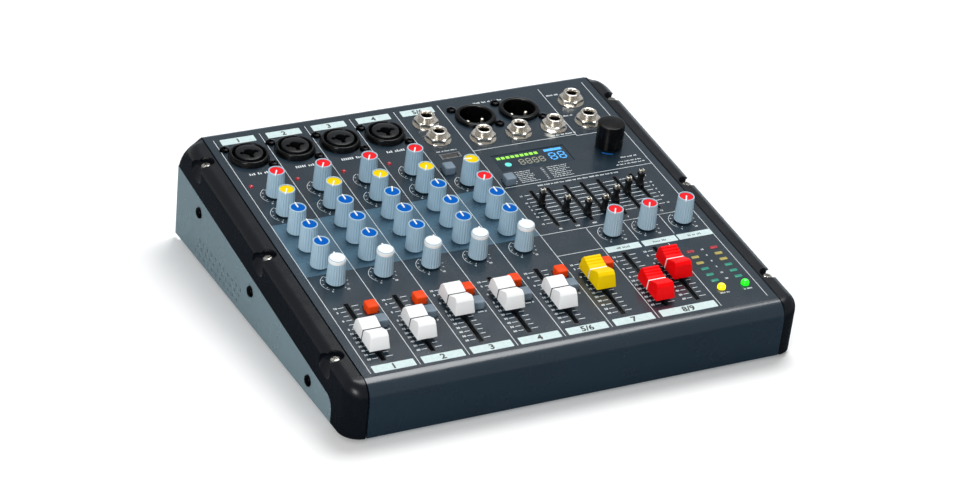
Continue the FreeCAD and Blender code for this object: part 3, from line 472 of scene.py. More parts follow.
def piece(name, mesh, finishes, body="root", place=(0.0, 0.0), turn=0.0, frame_matrix=PANEL, nodes=()):
    """Put a mesh on the panel at (x, s), turned clockwise in degrees, riding on a CAD body."""
    obj = placed(name, mesh)
    obj.matrix_world = (frame_matrix @ Matrix.Translation((place[0] * MM, place[1] * MM, 0))
                        @ Matrix.Rotation(math.radians(-turn), 4, "Z"))
    while len(mesh.materials) < len(finishes):
        mesh.materials.append(finishes[len(mesh.materials)])
    for entry, material in zip(obj.material_slots, finishes):
        entry.link = "OBJECT"
        entry.material = material
    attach(obj, body)
    if nodes:
        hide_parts(*nodes)
    return obj


# ---- knobs ----

FLUTES = 20
SKIRT_LOW, SKIRT_TOP = 0.8, 17.5
SKIRT_LOW_RADIUS, SKIRT_TOP_RADIUS = 5.65, 5.0
CAP_RADIUS = 4.25


def fluted(radius, depth):
    """Radius against angle of a skirt with narrow grooves."""
    return lambda angle: radius - depth * max(0.0, math.cos(FLUTES * angle)) ** 2


def skirt_mesh():
    """Tapered, fluted skirt with a plain bright rim round a sunken top."""
    top = SKIRT_TOP
    steps = [(3.4, SKIRT_LOW, 0.0), (5.3, SKIRT_LOW, 0.0), (SKIRT_LOW_RADIUS, SKIRT_LOW + 0.35, 0.2),
             (SKIRT_LOW_RADIUS, SKIRT_LOW + 0.7, 0.5), (SKIRT_TOP_RADIUS + 0.03, top - 1.0, 0.5),
             (SKIRT_TOP_RADIUS, top - 0.5, 0.0), (SKIRT_TOP_RADIUS - 0.06, top - 0.14, 0.0),
             (SKIRT_TOP_RADIUS - 0.2, top, 0.0), (CAP_RADIUS + 0.12, top, 0.0), (CAP_RADIUS, top - 0.12, 0.0),
             (CAP_RADIUS, top - 1.6, 0.0), (3.4, top - 1.6, 0.0)]
    rings = [ring(fluted(radius, depth), h, FLUTES * 6) for radius, h, depth in steps]
    return lofted("knob_skirt", rings, 40.0, looped=True)


def cap_mesh():
    """Sunken coloured disc with a raised white pointer that runs out over the rim."""
    bm = bmesh.new()
    lathe(bm, [(CAP_RADIUS - 0.05, SKIRT_TOP - 1.5), (CAP_RADIUS - 0.05, SKIRT_TOP - 0.5),
               (CAP_RADIUS - 0.3, SKIRT_TOP - 0.42), (2.0, SKIRT_TOP - 0.3), (0.4, SKIRT_TOP - 0.28)])
    soft_block(bm, 0.85, 5.3, SKIRT_TOP - 0.9, SKIRT_TOP + 0.25, 0.15, 0.2, (0.0, 2.5), finish=1)
    return finish_mesh(bm, "knob_cap")


def tall_cap_mesh():
    """White cap of a pan knob: a thick domed disc with a small pointer at its edge."""
    bm = bmesh.new()
    top = SKIRT_TOP
    lathe(bm, [(3.4, top - 2.6), (5.12, top - 2.6), (5.2, top - 2.4), (5.12, top - 0.55), (4.9, top - 0.2),
               (4.4, top), (2.2, top + 0.12), (0.3, top + 0.14)])
    soft_block(bm, 1.1, 2.2, top - 1.6, top + 0.28, 0.2, 0.25, (0.0, 4.5), finish=0)
    return finish_mesh(bm, "pan_cap", 40.0)


def shaft_mesh():
    return turned("knob_shaft", [(2.6, -10.0), (3.0, -9.6), (3.0, 9.6), (2.7, 10.0)], 32)


def knob_joints():
    """Joints of every knob that has a scale and a pointer, which can turn to 150 degrees right of up."""
    return [joint for joint in frame["joints"]
            if joint["child"].endswith("_knob") and joint["child"] != "encoder_knob"]


def panel_knobs():
    skirt, cap, tall_cap, stem = skirt_mesh(), cap_mesh(), tall_cap_mesh(), shaft_mesh()
    colours = {"gain": CAP_RED, "comp": CAP_YELLOW, "usb": CAP_YELLOW, "high": CAP_BLUE, "mid": CAP_BLUE,
               "low": CAP_BLUE, "level": CAP_RED}
    for joint in knob_joints():
        node = joint["child"]
        row = node.split("_")[-2]
        place = joint_place(joint["name"])
        turn = 150.0 - joint["range_deg"][1]
        piece(node + "_skirt", skirt, [SKIRT_GREY], node, place, nodes=[node])
        piece(node + "_shaft", stem, [LEVER_STEEL], node, place)
        if row == "pan":
            piece(node + "_cap", tall_cap, [CAP_WHITE], node, place, turn)
        else:
            piece(node + "_cap", cap, [colours[row], CAP_WHITE], node, place, turn)


def encoder():
    """Tall smooth menu knob with a softened top edge."""
    radius, top = 8.6, 17.4
    profile = [(radius - 0.4, 1.0), (radius, 1.4), (radius, top - 0.8), (radius - 0.1, top - 0.4),
               (radius - 0.4, top - 0.1), (radius - 0.8, top), (1.0, top)]
    body = turned("encoder_body", profile, 96)
    place = joint_place("encoder_turn")
    piece("encoder_knob_body", body, [ENCODER_BLACK], "encoder_knob", place, nodes=["encoder_knob"])
    piece("encoder_knob_shaft", shaft_mesh(), [LEVER_STEEL], "encoder_knob", place)


# ---- faders ----

CAP_LOW_H, CAP_HIGH_H = 2.4, 12.3
CAP_LOW_WIDTH, CAP_HIGH_WIDTH = 12.4, 10.4
SMOOTH_REAR = [(12.4, CAP_LOW_H), (11.2, 8.6), (9.4, 10.6), (7.2, 10.9)]
RIBBED_REAR = [(12.4, CAP_LOW_H), (11.2, 9.4), (9.6, 11.4), (8.0, 11.5), (7.5, 10.6), (5.9, 10.8), (5.4, 9.9),
               (3.9, 10.1), (3.4, 9.3), (2.0, 9.5)]
FRONT_HALF = [(0.7, 9.0), (0.5, 8.5), (-0.5, 8.5), (-0.7, 9.2), (-7.4, 12.1), (-8.9, 12.0), (-10.6, 10.4),
              (-12.2, CAP_LOW_H)]


def cap_half_width(h):
    """The cap narrows towards its top."""
    share = (h - CAP_LOW_H) / (CAP_HIGH_H - CAP_LOW_H)
    return (CAP_LOW_WIDTH + (CAP_HIGH_WIDTH - CAP_LOW_WIDTH) * share) / 2.0


def fader_cap_mesh(ribbed):
    """Two-crested finger cap with softened edges."""
    profile = (RIBBED_REAR if ribbed else SMOOTH_REAR) + FRONT_HALF
    bm = bmesh.new()
    sides = [[(side * cap_half_width(h), s, h) for s, h in profile] for side in (-1, 1)]
    loft(bm, sides)
    bmesh.ops.recalc_face_normals(bm, faces=bm.faces)
    edges = [e for e in bm.edges if e.calc_face_angle(0.0) > math.radians(25)]
    bmesh.ops.bevel(bm, geom=edges, offset=0.28, segments=3, profile=0.6, affect="EDGES", clamp_overlap=True)
    return finish_mesh(bm, "fader_cap", 38.0)


def fader_line_mesh():
    """Marker strip that lies in the groove and runs down both sides of the cap."""
    low, high, proud = 2.6, 8.86, 0.07
    rings = []
    for s in (-0.42, 0.42):
        wide, narrow = cap_half_width(low) + proud, cap_half_width(high) + proud
        rings.append([(-wide, s, low), (wide, s, low), (narrow, s, high), (-narrow, s, high)])
    return lofted("fader_line", rings)


def node_middle(node):
    """(x, s) of the middle of a CAD node, from its vertices."""
    inverse = PANEL.inverted()
    spots = [inverse @ v.co for v in frame["nodes"][node].data.vertices]
    return tuple((min(p[axis] for p in spots) + max(p[axis] for p in spots)) / 2 / MM for axis in (0, 1))


def faders():
    plain, ribbed, line = fader_cap_mesh(False), fader_cap_mesh(True), fader_line_mesh()
    lever = block_mesh("lever", 1.6, 5.0, -8.0, 6.0, 0.1, 0.2)
    main = (ribbed, FADER_RED, CAP_WHITE)
    looks = {"effect_fader": (ribbed, FADER_YELLOW, CAP_WHITE), "main_left_fader": main,
             "main_right_fader": main}
    names = ["ch%d_fader" % n for n in range(1, 6)] + list(looks)
    for name in names:
        x, s = node_middle(name)
        s -= 0.2
        cap, colour, mark = looks.get(name, (plain, FADER_WHITE, LINE_DARK))
        piece(name + "_cap", cap, [colour], name, (x, s), nodes=[name])
        piece(name + "_line", line, [mark], name, (x, s))
        piece(name + "_lever", lever, [LEVER_STEEL], name, (x, s))


def eq_sliders():
    """Narrow black levers, each with a bright forked clip at its tip."""
    bm = bmesh.new()
    soft_block(bm, 3.4, 6.4, 0.6, 2.6, 0.5, 0.5)
    steps = [(3.4, 5.2, 2.4), (2.7, 3.6, 4.0), (2.7, 3.4, 6.2), (3.6, 4.0, 7.4), (3.6, 4.0, 9.0),
             (3.2, 3.6, 9.4)]
    loft(bm, [rounded_ring(width, length, 0.5, h) for width, length, h in steps])
    stem = finish_mesh(bm, "eq_stem", 40.0)
    bm = bmesh.new()
    for side in (-1, 1):
        soft_block(bm, 0.6, 2.4, 8.4, 11.35, 0.1, 0.2, (side * 1.2, 0.0))
    soft_block(bm, 2.9, 0.6, 9.0, 10.4, 0.1, 0.2, (0.0, 0.9))
    clip = finish_mesh(bm, "eq_clip")
    lever = block_mesh("lever", 1.2, 3.2, -7.0, 2.0, 0.1, 0.2)
    for n in range(7):
        name = "eq_slider_%d" % (n + 1)
        place = node_middle(name)
        piece(name + "_stem", stem, [LEVER_BLACK], name, place, nodes=[name])
        piece(name + "_clip", clip, [PIN_SILVER], name, place)
        piece(name + "_lever", lever, [LEVER_STEEL], name, place)


def push_buttons():
    bm = bmesh.new()
    soft_block(bm, BUTTON_SIZE[0], BUTTON_SIZE[1], -3.4, 4.5, 0.5, 0.8)
    soft_block(bm, 3.0, 3.0, -10.0, -3.3, 0.2, 0.1)
    cap = finish_mesh(bm, "button_cap", 40.0)
    rows = [("mute", MUTE_BUTTONS, BUTTON_ORANGE), ("solo", SOLO_BUTTONS, BUTTON_GREY),
            ("select", SELECT_BUTTONS, BUTTON_GREY)]
    for row, places, colour in rows:
        for n, place in enumerate(places):
            nodes = ["push_buttons"] if (row, n) == ("mute", 0) else []
            piece("%s_button_%d" % (row, n + 1), cap, [colour], "push_buttons", place, nodes=nodes)


# ---- sockets ----

def cross_radius(arm, half_width):
    """Radius against angle of a cross recess."""
    def reach(angle):
        off = abs((angle + math.pi / 4) % (math.pi / 2) - math.pi / 4)
        return min(arm / math.cos(off), half_width / max(math.sin(off), 1e-6))
    return reach


def hexagon(flat):
    """Radius against angle of a hexagon with a given half width across flats."""
    return lambda angle: flat / math.cos((angle + math.pi / 6) % (math.pi / 3) - math.pi / 6)


def screw_mesh(radius, rise, shank, depth, recess):
    """Pan-head screw; recess is the radius function of its drive."""
    steps = [ring(shank * 0.7, -depth, 64), ring(shank, -depth + 0.6, 64), ring(shank, 0.0, 64),
             ring(radius, 0.0, 64), ring(radius, rise * 0.3, 64), ring(radius * 0.9, rise * 0.75, 64),
             ring(radius * 0.68, rise * 0.97, 64), ring(recess, rise, 64),
             ring(lambda a: recess(a) * 0.75, rise * 0.35, 64)]
    return lofted("screw", steps)


def on_panel(x, s, h):
    """Placement at a raised point of the panel frame."""
    return PANEL @ Matrix.Translation((x * MM, s * MM, h * MM))


def screws():
    """Bright cheek screws, black socket screws, black side screws and the rear flange screws."""
    cross, socket = cross_radius(1.8, 0.45), hexagon(1.5)
    cheek = screw_mesh(3.2, 2.35, 1.4, 15.0, cross)
    small = screw_mesh(3.1, 1.95, 1.3, 7.0, cross_radius(1.6, 0.42))
    side_screw = screw_mesh(3.6, 1.75, 1.3, 9.0, socket)
    rear = screw_mesh(3.1, 1.55, 1.3, 7.0, cross_radius(1.6, 0.42))
    cheek_places = [(side * CHEEK_SCREW_X, s) for side in (-1, 1) for s in CHEEK_SCREW_S]
    for n, (x, s) in enumerate(cheek_places):
        piece("cheek_screw_%d" % (n + 1), cheek, [SCREW_BRIGHT], frame_matrix=on_panel(x, s, POCKET_FLOOR_H),
              turn=random.uniform(0, 90), nodes=["case_screws"] if n == 0 else [])
    dx, ds = SOCKET_SCREW_OFFSET
    for n, (x, s) in enumerate(COMBO_SOCKETS + MALE_SOCKETS):
        for m, sign in enumerate((-1, 1)):
            piece("socket_screw_%d_%d" % (n + 1, m + 1), small, [SCREW_BLACK],
                  place=(x + sign * dx, s - sign * ds), turn=random.uniform(0, 90))
    for side, label in ((-1, "left"), (1, "right")):
        for n, (s, h) in enumerate(SIDE_SCREWS):
            seat = on_panel(side * CASE_HALF_WIDTH, s, h) @ Matrix.Rotation(side * math.pi / 2, 4, "Y")
            piece("%s_side_screw_%d" % (label, n + 1), side_screw, [SCREW_BLACK], frame_matrix=seat)
    for n, x in enumerate(REAR_SCREW_X):
        seat = on_panel(x, 257.0, REAR_SCREW_H) @ Matrix.Rotation(-math.pi / 2, 4, "X")
        piece("rear_screw_%d" % (n + 1), rear, [SCREW_BLACK], frame_matrix=seat, turn=random.uniform(0, 90))


def keyhole(angle):
    """Opening of the combination insert: a round bore with three contact lobes."""
    bore, lobe, offset = 3.35, 1.5, 4.4
    reach = bore
    for direction in (0.0, math.pi, 1.5 * math.pi):
        off = (angle - direction + math.pi) % (2 * math.pi) - math.pi
        side = offset * math.sin(off)
        if abs(side) < lobe and math.cos(off) > 0:
            reach = max(reach, offset * math.cos(off) + math.sqrt(lobe ** 2 - side ** 2))
    return reach


def shell_mesh(collar):
    """Round black socket shell with a collar above the panel and a closed floor."""
    profile = [(11.9, -21.0), (12.0, -20.6), (12.0, 0.0)] + collar + [(9.9, -13.0)]
    return turned("socket_shell", profile, 96, 40.0)


INPUT_COLLAR = [(12.9, 0.0), (12.85, 0.5), (12.1, 2.8), (11.85, 3.3), (11.4, 3.58), (10.8, 3.5), (10.4, 3.1),
                (10.2, 1.8), (9.95, 1.0)]
OUTPUT_COLLAR = [(13.0, 0.0), (13.0, 1.5), (12.85, 2.1), (12.4, 2.45), (11.0, 2.5), (10.3, 2.3), (10.0, 1.8),
                 (9.9, 1.0)]


def flange_mesh():
    """Flange that bolts the socket up under the panel."""
    outer = rounded_ring(27.0, 28.5, 3.0, 0.0, steps=11)
    bore, low, high = 12.05, -3.6, -1.25
    inner = [(bore * math.cos(math.atan2(s, x)), bore * math.sin(math.atan2(s, x)), 0.0) for x, s, _ in outer]
    rings = [[(x, s, low) for x, s, _ in inner], [(x, s, low) for x, s, _ in outer],
             [(x, s, high) for x, s, _ in outer], [(x, s, high) for x, s, _ in inner]]
    return lofted("socket_flange", rings, looped=True)


def insert_mesh():
    """Middle insert of a combination socket with a keyhole mouth."""
    steps = [(8.6, -13.0), (8.6, 3.4), (8.4, 3.8), (7.9, 3.98), (lambda angle: keyhole(angle) + 0.3, 3.9),
             (keyhole, 3.6), (keyhole, -9.0), (3.3, -9.05), (3.3, -13.0)]
    return turned("socket_insert", steps, 144, 35.0, looped=True)


def pin_mesh():
    profile = [(1.2, -13.0), (1.2, -2.4), (1.05, -1.8), (0.7, -1.55), (0.2, -1.5)]
    return turned("socket_pin", profile, 24, 50.0)


def xlr_sockets():
    shells = {"input": shell_mesh(INPUT_COLLAR), "output": shell_mesh(OUTPUT_COLLAR)}
    flange, insert, pin = flange_mesh(), insert_mesh(), pin_mesh()
    places = [("input", n, p) for n, p in enumerate(COMBO_SOCKETS)]
    places += [("output", n, p) for n, p in enumerate(MALE_SOCKETS)]
    for kind, n, place in places:
        name = "%s_socket_%d" % (kind, n + 1)
        nodes = ["xlr_sockets"] if (kind, n) == ("input", 0) else []
        piece(name + "_shell", shells[kind], [SOCKET_BLACK], place=place, nodes=nodes)
        piece(name + "_flange", flange, [SOCKET_BLACK], place=place)
        if kind == "input":
            piece(name + "_insert", insert, [SOCKET_INSERT], place=place)
            continue
        for m, angle in enumerate((0.0, math.pi, 1.5 * math.pi)):
            spot = (place[0] + 4.9 * math.cos(angle), place[1] + 4.9 * math.sin(angle))
            piece("%s_pin_%d" % (name, m + 1), pin, [PIN_SILVER], place=spot)


def jack_meshes():
    """Threaded barrel with its body, a thin washer and a chamfered nut."""
    bm = bmesh.new()
    profile = [(5.1, -1.4), (5.2, -1.2)]
    for n in range(4):
        low = 3.5 + 0.7 * n
        profile += [(5.2, low + 0.1), (5.2, low + 0.3), (4.95, low + 0.45), (4.95, low + 0.55)]
    profile += [(5.15, 6.4), (5.2, 6.6), (5.15, 6.95), (4.9, 7.15), (4.5, 7.2), (3.9, 7.1), (3.6, 6.8)]
    bore = [(3.6, 4.5), (3.3, -16.0), (0.4, -16.0)]
    lathe(bm, profile + bore, 64)
    for face in bm.faces:
        spot = face.calc_center_median()
        if spot.z < 4.5 and spot.xy.length < 3.7:
            face.material_index = 1
    barrel = finish_mesh(bm, "jack_barrel", 50.0)
    washer = turned("jack_washer", [(5.22, 0.0), (8.4, 0.0), (8.4, 0.5), (8.2, 0.8), (5.22, 0.8)], 64,
                    looped=True)
    flat = hexagon(6.95)
    limits = [(0.8, 7.4), (1.05, 7.95), (2.9, 7.95), (3.3, 7.6), (3.6, 7.0)]
    rings = [ring(lambda a, cap=cap: min(flat(a), cap), h, 96) for h, cap in limits]
    rings = [ring(5.22, 0.8, 96)] + rings + [ring(5.6, 3.6, 96), ring(5.22, 3.3, 96)]
    nut = lofted("jack_nut", rings, 30.0, looped=True)
    return barrel, washer, nut, block_mesh("jack_body", 12.4, 12.4, -19.0, -1.3, 0.8, 0.3)


def phone_jacks():
    barrel, washer, nut, body = jack_meshes()
    for n, place in enumerate(JACKS):
        name = "phone_jack_%d" % (n + 1)
        nodes = ["phone_jacks"] if n == 0 else []
        piece(name + "_barrel", barrel, [NICKEL, DARK_BORE], place=place, nodes=nodes)
        piece(name + "_washer", washer, [NICKEL], place=place)
        piece(name + "_nut", nut, [NICKEL], place=place, turn=random.uniform(-14, 14))
        piece(name + "_body", body, [CORE_BLACK], place=place)


# ---- display and lamps ----

def lens_mesh(radius, low, high):
    """Domed lamp lens."""
    steps = [(radius, low), (radius, high - radius * 0.8)]
    steps += [(radius * math.cos(a), high - radius * 0.8 * (1 - math.sin(a)))
              for a in [math.radians(15 * n) for n in range(1, 6)]]
    return turned("lens", steps + [(0.1, high)], 32, 60.0)


def lamps():
    red, amber = lamp("lamp_red", (150, 16, 34), 0.5), lamp("lamp_amber", (150, 140, 70), 0.5)
    teal = lamp("lamp_teal", (20, 120, 100), 0.5)
    yellow = lamp("lamp_yellow", (255, 230, 10), 1.4)
    green = lamp("lamp_green", (20, 230, 20), 1.2)
    peak = lens_mesh(1.5, -5.0, 1.15)
    for n, place in enumerate(PEAK_LAMPS):
        piece("peak_lamp_%d" % (n + 1), peak, [red], place=place)
    status = lens_mesh(2.5, -6.0, 2.9)
    piece("phantom_lamp", status, [yellow], place=STATUS_LAMPS[0])
    piece("power_lamp", status, [green], place=STATUS_LAMPS[1])
    block = block_mesh("meter_block", METER_SIZE[0], METER_SIZE[1], -5.0, 0.28, 0.3, 0.15)
    rows = [red, amber, amber, teal, teal, teal]
    for side, x in zip(("left", "right"), METER_X):
        for n, (s, colour) in enumerate(zip(METER_S, rows)):
            piece("%s_meter_%d" % (side, n + 1), block, [colour], place=(x, s))


SEGMENT_H = (-0.3, -0.26)


def segment_digit(bm, centre, width, length):
    """All seven bars of a display digit."""
    x, s = centre
    thick = width * 0.2
    for level in (-1, 0, 1):
        bar(bm, (x, s + level * length / 2), width * 0.62, thick, *SEGMENT_H)
    for side in (-1, 1):
        for level in (-1, 1):
            bar(bm, (x + side * width * 0.42, s + level * length / 4), thick, length * 0.36, *SEGMENT_H)


def display():
    """Dark window over its module, with a row of icons, four digits and a pair of larger digits."""
    window = block_mesh("display_window", DISPLAY_SIZE[0], DISPLAY_SIZE[1], -1.2, -0.3, 0.3, 0.1)
    piece("display_window", window, [WINDOW_DARK], place=DISPLAY_CENTRE, nodes=["display_and_leds"])
    module = block_mesh("display_module", 54.0, 22.0, -9.0, -1.25, 0.6, 0.2)
    piece("display_module", module, [CORE_BLACK], place=DISPLAY_CENTRE)
    green = lamp("segment_green", (140, 215, 70), 0.7)
    amber = lamp("segment_amber", (150, 150, 130), 0.35)
    blue = lamp("segment_blue", (70, 160, 235), 0.8)
    pale = lamp("segment_pale", (90, 200, 190), 0.6)
    cx, cs = DISPLAY_CENTRE
    low, high = SEGMENT_H
    icons, digits, program, status = [bmesh.new() for _ in range(4)]
    for n in range(9):
        bar(icons, (cx - 21.0 + 3.2 * n, cs + 5.6), 2.3, 2.6, low, high)
    for n in range(4):
        segment_digit(digits, (cx - 8.0 + 4.6 * n, cs - 1.6), 3.4, 5.4)
    bar(program, (cx + 16.4, cs + 6.2), 12.0, 2.4, low, high)
    for n in range(2):
        segment_digit(program, (cx + 13.6 + 6.2 * n, cs - 0.8), 4.6, 7.0)
    lathe(status, [(2.2, low), (2.2, high), (0.2, high)], 24, (cx - 17.6, cs - 2.0))
    for name, bm, colour in (("icons", icons, green), ("digits", digits, amber), ("program", program, blue),
                             ("status", status, pale)):
        piece("display_" + name, finish_mesh(bm, "display_" + name), [colour])


# ---- case ----

SEAM_GAP = 0.3
CHEEK_INNER = PANEL_HALF_WIDTH + SEAM_GAP / 2
CHEEK_WIDTH = CASE_HALF_WIDTH - CHEEK_INNER
CHEEK_DROP = 21.8
BEND_RADIUS = 10.0
EDGE_RADIUS = 6.5
REAR_RUNS = (6.0, 23.0)      # length of the rear curve beside the panel, and at the outer side
SEAM_BEVEL = 0.7
LEDGE_STEP = 0.02            # keeps the skin's last points apart where it runs out at the rear
CUT_WELD = 0.005
CORNER_DEPTH = 13.0
PLATE_FRONT_S, PLATE_CORNER = 10.8, 7.0


def cheek_foot_h(s):
    """Lower edge of the cheek's outer skin at s: the floor at the front, the steel plate behind."""
    seam = -CHEEK_DROP
    if s < PLATE_FRONT_S:
        return floor_h(s)
    run = min(s - PLATE_FRONT_S, PLATE_CORNER)
    return seam - PLATE_CORNER + math.sqrt(PLATE_CORNER ** 2 - (PLATE_CORNER - run) ** 2)


def crest_h(x, s):
    """Top of a cheek before its edge is rounded: level, then curving down to the seam at the rear."""
    inner, outer = REAR_RUNS
    run = inner + (outer - inner) * (x - CHEEK_INNER) / CHEEK_WIDTH
    off = max(0.0, s - (CHEEK_REAR_S - run)) / run
    return CHEEK_DROP * (math.sqrt(max(0.0, 1 - off ** 2)) - 1)


def cheek_column(pole, rim, flat, drop, foot, sink=0.0):
    """Ring of one upright section, from the inner top over the shoulder and down to its foot."""
    span = math.dist(pole, rim)
    toward = ((rim[0] - pole[0]) / span, (rim[1] - pole[1]) / span)
    points = [(pole[0], pole[1], crest_h(*pole) - SEAM_BEVEL)]
    profile = [(SEAM_BEVEL, 0.0)]
    steps = 16
    for n in range(steps + 1):
        angle = math.pi / 2 * n / steps
        profile.append((flat + (span - flat) * math.sin(angle), drop * (1 - math.cos(angle))))
    for n, (reach, fall) in enumerate(profile):
        x, s = pole[0] + toward[0] * (reach - sink), pole[1] + toward[1] * (reach - sink)
        lowest = LEDGE_STEP * (len(profile) - n) - CHEEK_DROP
        points.append((x, s, max(crest_h(x, s) - fall - sink, lowest)))
    ledge = max(foot, -CHEEK_DROP - PLATE_CORNER)
    edge = points[-1][:2]
    return points + [(*edge, ledge), (*edge, foot), (pole[0], pole[1], foot), (pole[0], pole[1], ledge)]


def cheek_mesh():
    """Right-hand cheek: front corner swept round a pole, then the long shoulder."""
    columns = []
    pole = (CHEEK_INNER, PANEL_FRONT_S + CORNER_DEPTH)
    steps = 20
    for n in range(steps + 1):
        angle = math.pi / 2 * n / steps
        turn = math.sin(angle) ** 2
        rim = (CHEEK_INNER + CHEEK_WIDTH * math.sin(angle), pole[1] - CORNER_DEPTH * math.cos(angle))
        drop = BEND_RADIUS + (EDGE_RADIUS - BEND_RADIUS) * turn
        columns.append(cheek_column(pole, rim, math.dist(pole, rim) - drop, drop, floor_h(rim[1]),
                                    SEAM_BEVEL if n == 0 else 0.0))
    stations = [4.0, PLATE_FRONT_S - 0.3 - 1e-3, PLATE_FRONT_S - 0.3]
    stations += [PLATE_FRONT_S + PLATE_CORNER * (1 - math.cos(math.radians(15 * n))) for n in range(1, 7)]
    stations += [30.0 + 22.0 * n for n in range(10)]
    rear_run = REAR_RUNS[1] - 0.02
    stations += [CHEEK_REAR_S - REAR_RUNS[1] + rear_run * math.sin(math.radians(6 * n)) for n in range(16)]
    for s in stations:
        foot = floor_h(s) if s < PLATE_FRONT_S - 0.3 else cheek_foot_h(max(s, PLATE_FRONT_S))
        columns.append(cheek_column((CHEEK_INNER, s), (CASE_HALF_WIDTH, s), CHEEK_WIDTH - EDGE_RADIUS,
                                    EDGE_RADIUS, foot))
    return lofted("cheek", columns, 30.0)


def carve(mesh, cutters, name):
    """Cut meshes out of another one and return the result."""
    target = placed("carved", mesh)
    helpers = []
    for n, cutter in enumerate(cutters):
        helpers.append(placed("cutter", cutter))
        step = target.modifiers.new("cut%d" % n, "BOOLEAN")
        step.operation = "DIFFERENCE"
        step.solver = "EXACT"
        step.use_self = True
        step.object = helpers[-1]
    bpy.context.view_layer.update()
    result = bpy.data.meshes.new_from_object(target.evaluated_get(bpy.context.evaluated_depsgraph_get()))
    result.name = name
    for obj in helpers + [target]:
        bpy.data.objects.remove(obj)
    bm = bmesh.new()
    bm.from_mesh(result)
    bmesh.ops.remove_doubles(bm, verts=bm.verts, dist=CUT_WELD * MM)
    bm.to_mesh(result)
    bm.free()
    result.shade_smooth()
    result.set_sharp_from_angle(angle=math.radians(30))
    return result


def cheeks():
    """Both end cheeks with their screw pockets, each opened to the side by a round scoop."""
    cutters = []
    wide = SCOOP_RADIUS
    for s in CHEEK_SCREW_S:
        pocket = turned("pocket", [(0.5, 0.0), (POCKET_RADIUS - 0.5, 0.0), (POCKET_RADIUS, 0.5),
                                   (POCKET_RADIUS, 12.0), (0.5, 12.0)])
        scoop = turned("scoop", [(0.5, 0.0), (0.55 * wide, 0.3), (0.8 * wide, 0.9), (0.95 * wide, 1.8),
                                 (wide, 2.9), (wide, 8.0), (0.5, 8.0)])
        pocket.transform(Matrix.Translation(Vector((CHEEK_SCREW_X, s, POCKET_FLOOR_H)) * MM))
        middle = Vector((SCOOP_X, s + SCOOP_OFFSET[0], SCOOP_OFFSET[1])) * MM
        scoop.transform(Matrix.Translation(middle) @ Matrix.Rotation(math.radians(SCOOP_TILT), 4, "Y"))
        cutters += [pocket, scoop]
    right = carve(cheek_mesh(), cutters, "right_cheek_skin")
    left = right.copy()
    left.transform(Matrix.Scale(-1, 4, ACROSS))
    left.flip_normals()
    piece("right_cheek_skin", right, [CHEEK_BLACK], nodes=["right_cheek"])
    piece("left_cheek_skin", left, [CHEEK_BLACK], nodes=["left_cheek"])


def rubber_feet():
    foot = turned("foot", [(7.8, 0.0), (8.0, 0.3), (7.2, 2.5), (6.9, 2.9), (6.4, 3.0), (5.0, 3.0), (4.8, 2.4),
                           (0.5, 2.4)], sharp=40.0)
    n = 0
    for x in (-118.0, 118.0):
        for s in (14.0, 236.0):
            n += 1
            top = PANEL @ Vector((x * MM, s * MM, floor_h(s) * MM))
            seat = Matrix.Translation(top) @ Matrix.Rotation(math.pi, 4, "X")
            nodes = ["rubber_feet"] if n == 1 else []
            piece("rubber_foot_%d" % n, foot, [RUBBER], frame_matrix=seat, nodes=nodes)


def shade_node(node, finishes, sharp=32.0):
    """Give a CAD node its finishes and smooth its curved faces."""
    mesh = frame["nodes"][node].data
    mesh.materials.clear()
    for material in finishes:
        mesh.materials.append(material)
    mesh.shade_smooth()
    mesh.set_sharp_from_angle(angle=math.radians(sharp))
    return mesh


def islands(mesh):
    """Groups of face numbers that share vertices by place."""
    spots = {}
    parent = list(range(len(mesh.polygons)))

    def root(n):
        while parent[n] != n:
            parent[n] = parent[parent[n]]
            n = parent[n]
        return n

    for face in mesh.polygons:
        for v in face.vertices:
            key = tuple(round(c, 6) for c in mesh.vertices[v].co)
            parent[root(face.index)] = root(spots.setdefault(key, face.index))
    groups = {}
    for face in mesh.polygons:
        groups.setdefault(root(face.index), []).append(face.index)
    return list(groups.values())


def boards():
    """Colour the boards' node solid by solid: laminate, steel control bodies and black fittings."""
    mesh = shade_node("circuit_boards", [BOARD, CONTROL_BODY, CORE_BLACK, NICKEL])
    inverse = PANEL.inverted()
    for group in islands(mesh):
        spots = [inverse @ mesh.vertices[v].co / MM for f in group for v in mesh.polygons[f].vertices]
        size = [max(p[axis] for p in spots) - min(p[axis] for p in spots) for axis in range(3)]
        middle_s = sum(p[1] for p in spots) / len(spots)
        if max(size) > 80:
            kind = 0
        elif middle_s > 225 and min(size) > 3:
            kind = 2
        else:
            kind = 3 if max(size) < 16 and min(size) < 2.5 else 1
        for f in group:
            mesh.polygons[f].material_index = kind


def power_rocker():
    shade_node("power_rocker", [SWITCH_BLACK])


def case():
    shade_node("top_panel", [PANEL_PAINT])
    # The side plates' coat is lightened as a painted reflection of the floor.
    shade_node("bottom_tray", [PLATE_COAT_WITH_PAINTED_REFLECTION])


# ---- print ----

INK_LOW, INK_HIGH = -0.02, 0.035
glyphs = {}


def glyph(text):
    """Corner points and faces of a number in the built-in font, one unit tall, kept for reuse."""
    if text not in glyphs:
        curve = bpy.data.curves.new("number", "FONT")
        curve.body = text
        curve.align_x = "CENTER"
        curve.align_y = "CENTER"
        curve.extrude = 0.5
        curve.offset = 0.03
        curve.resolution_u = 2
        holder = placed("number", curve)
        bpy.context.view_layer.update()
        mesh = bpy.data.meshes.new_from_object(holder)
        bpy.data.objects.remove(holder)
        bm = bmesh.new()
        bm.from_mesh(mesh)
        bmesh.ops.remove_doubles(bm, verts=bm.verts, dist=1e-4)
        bm.verts.index_update()
        glyphs[text] = ([v.co.copy() for v in bm.verts], [[v.index for v in f.verts] for f in bm.faces])
        bm.free()
    return glyphs[text]


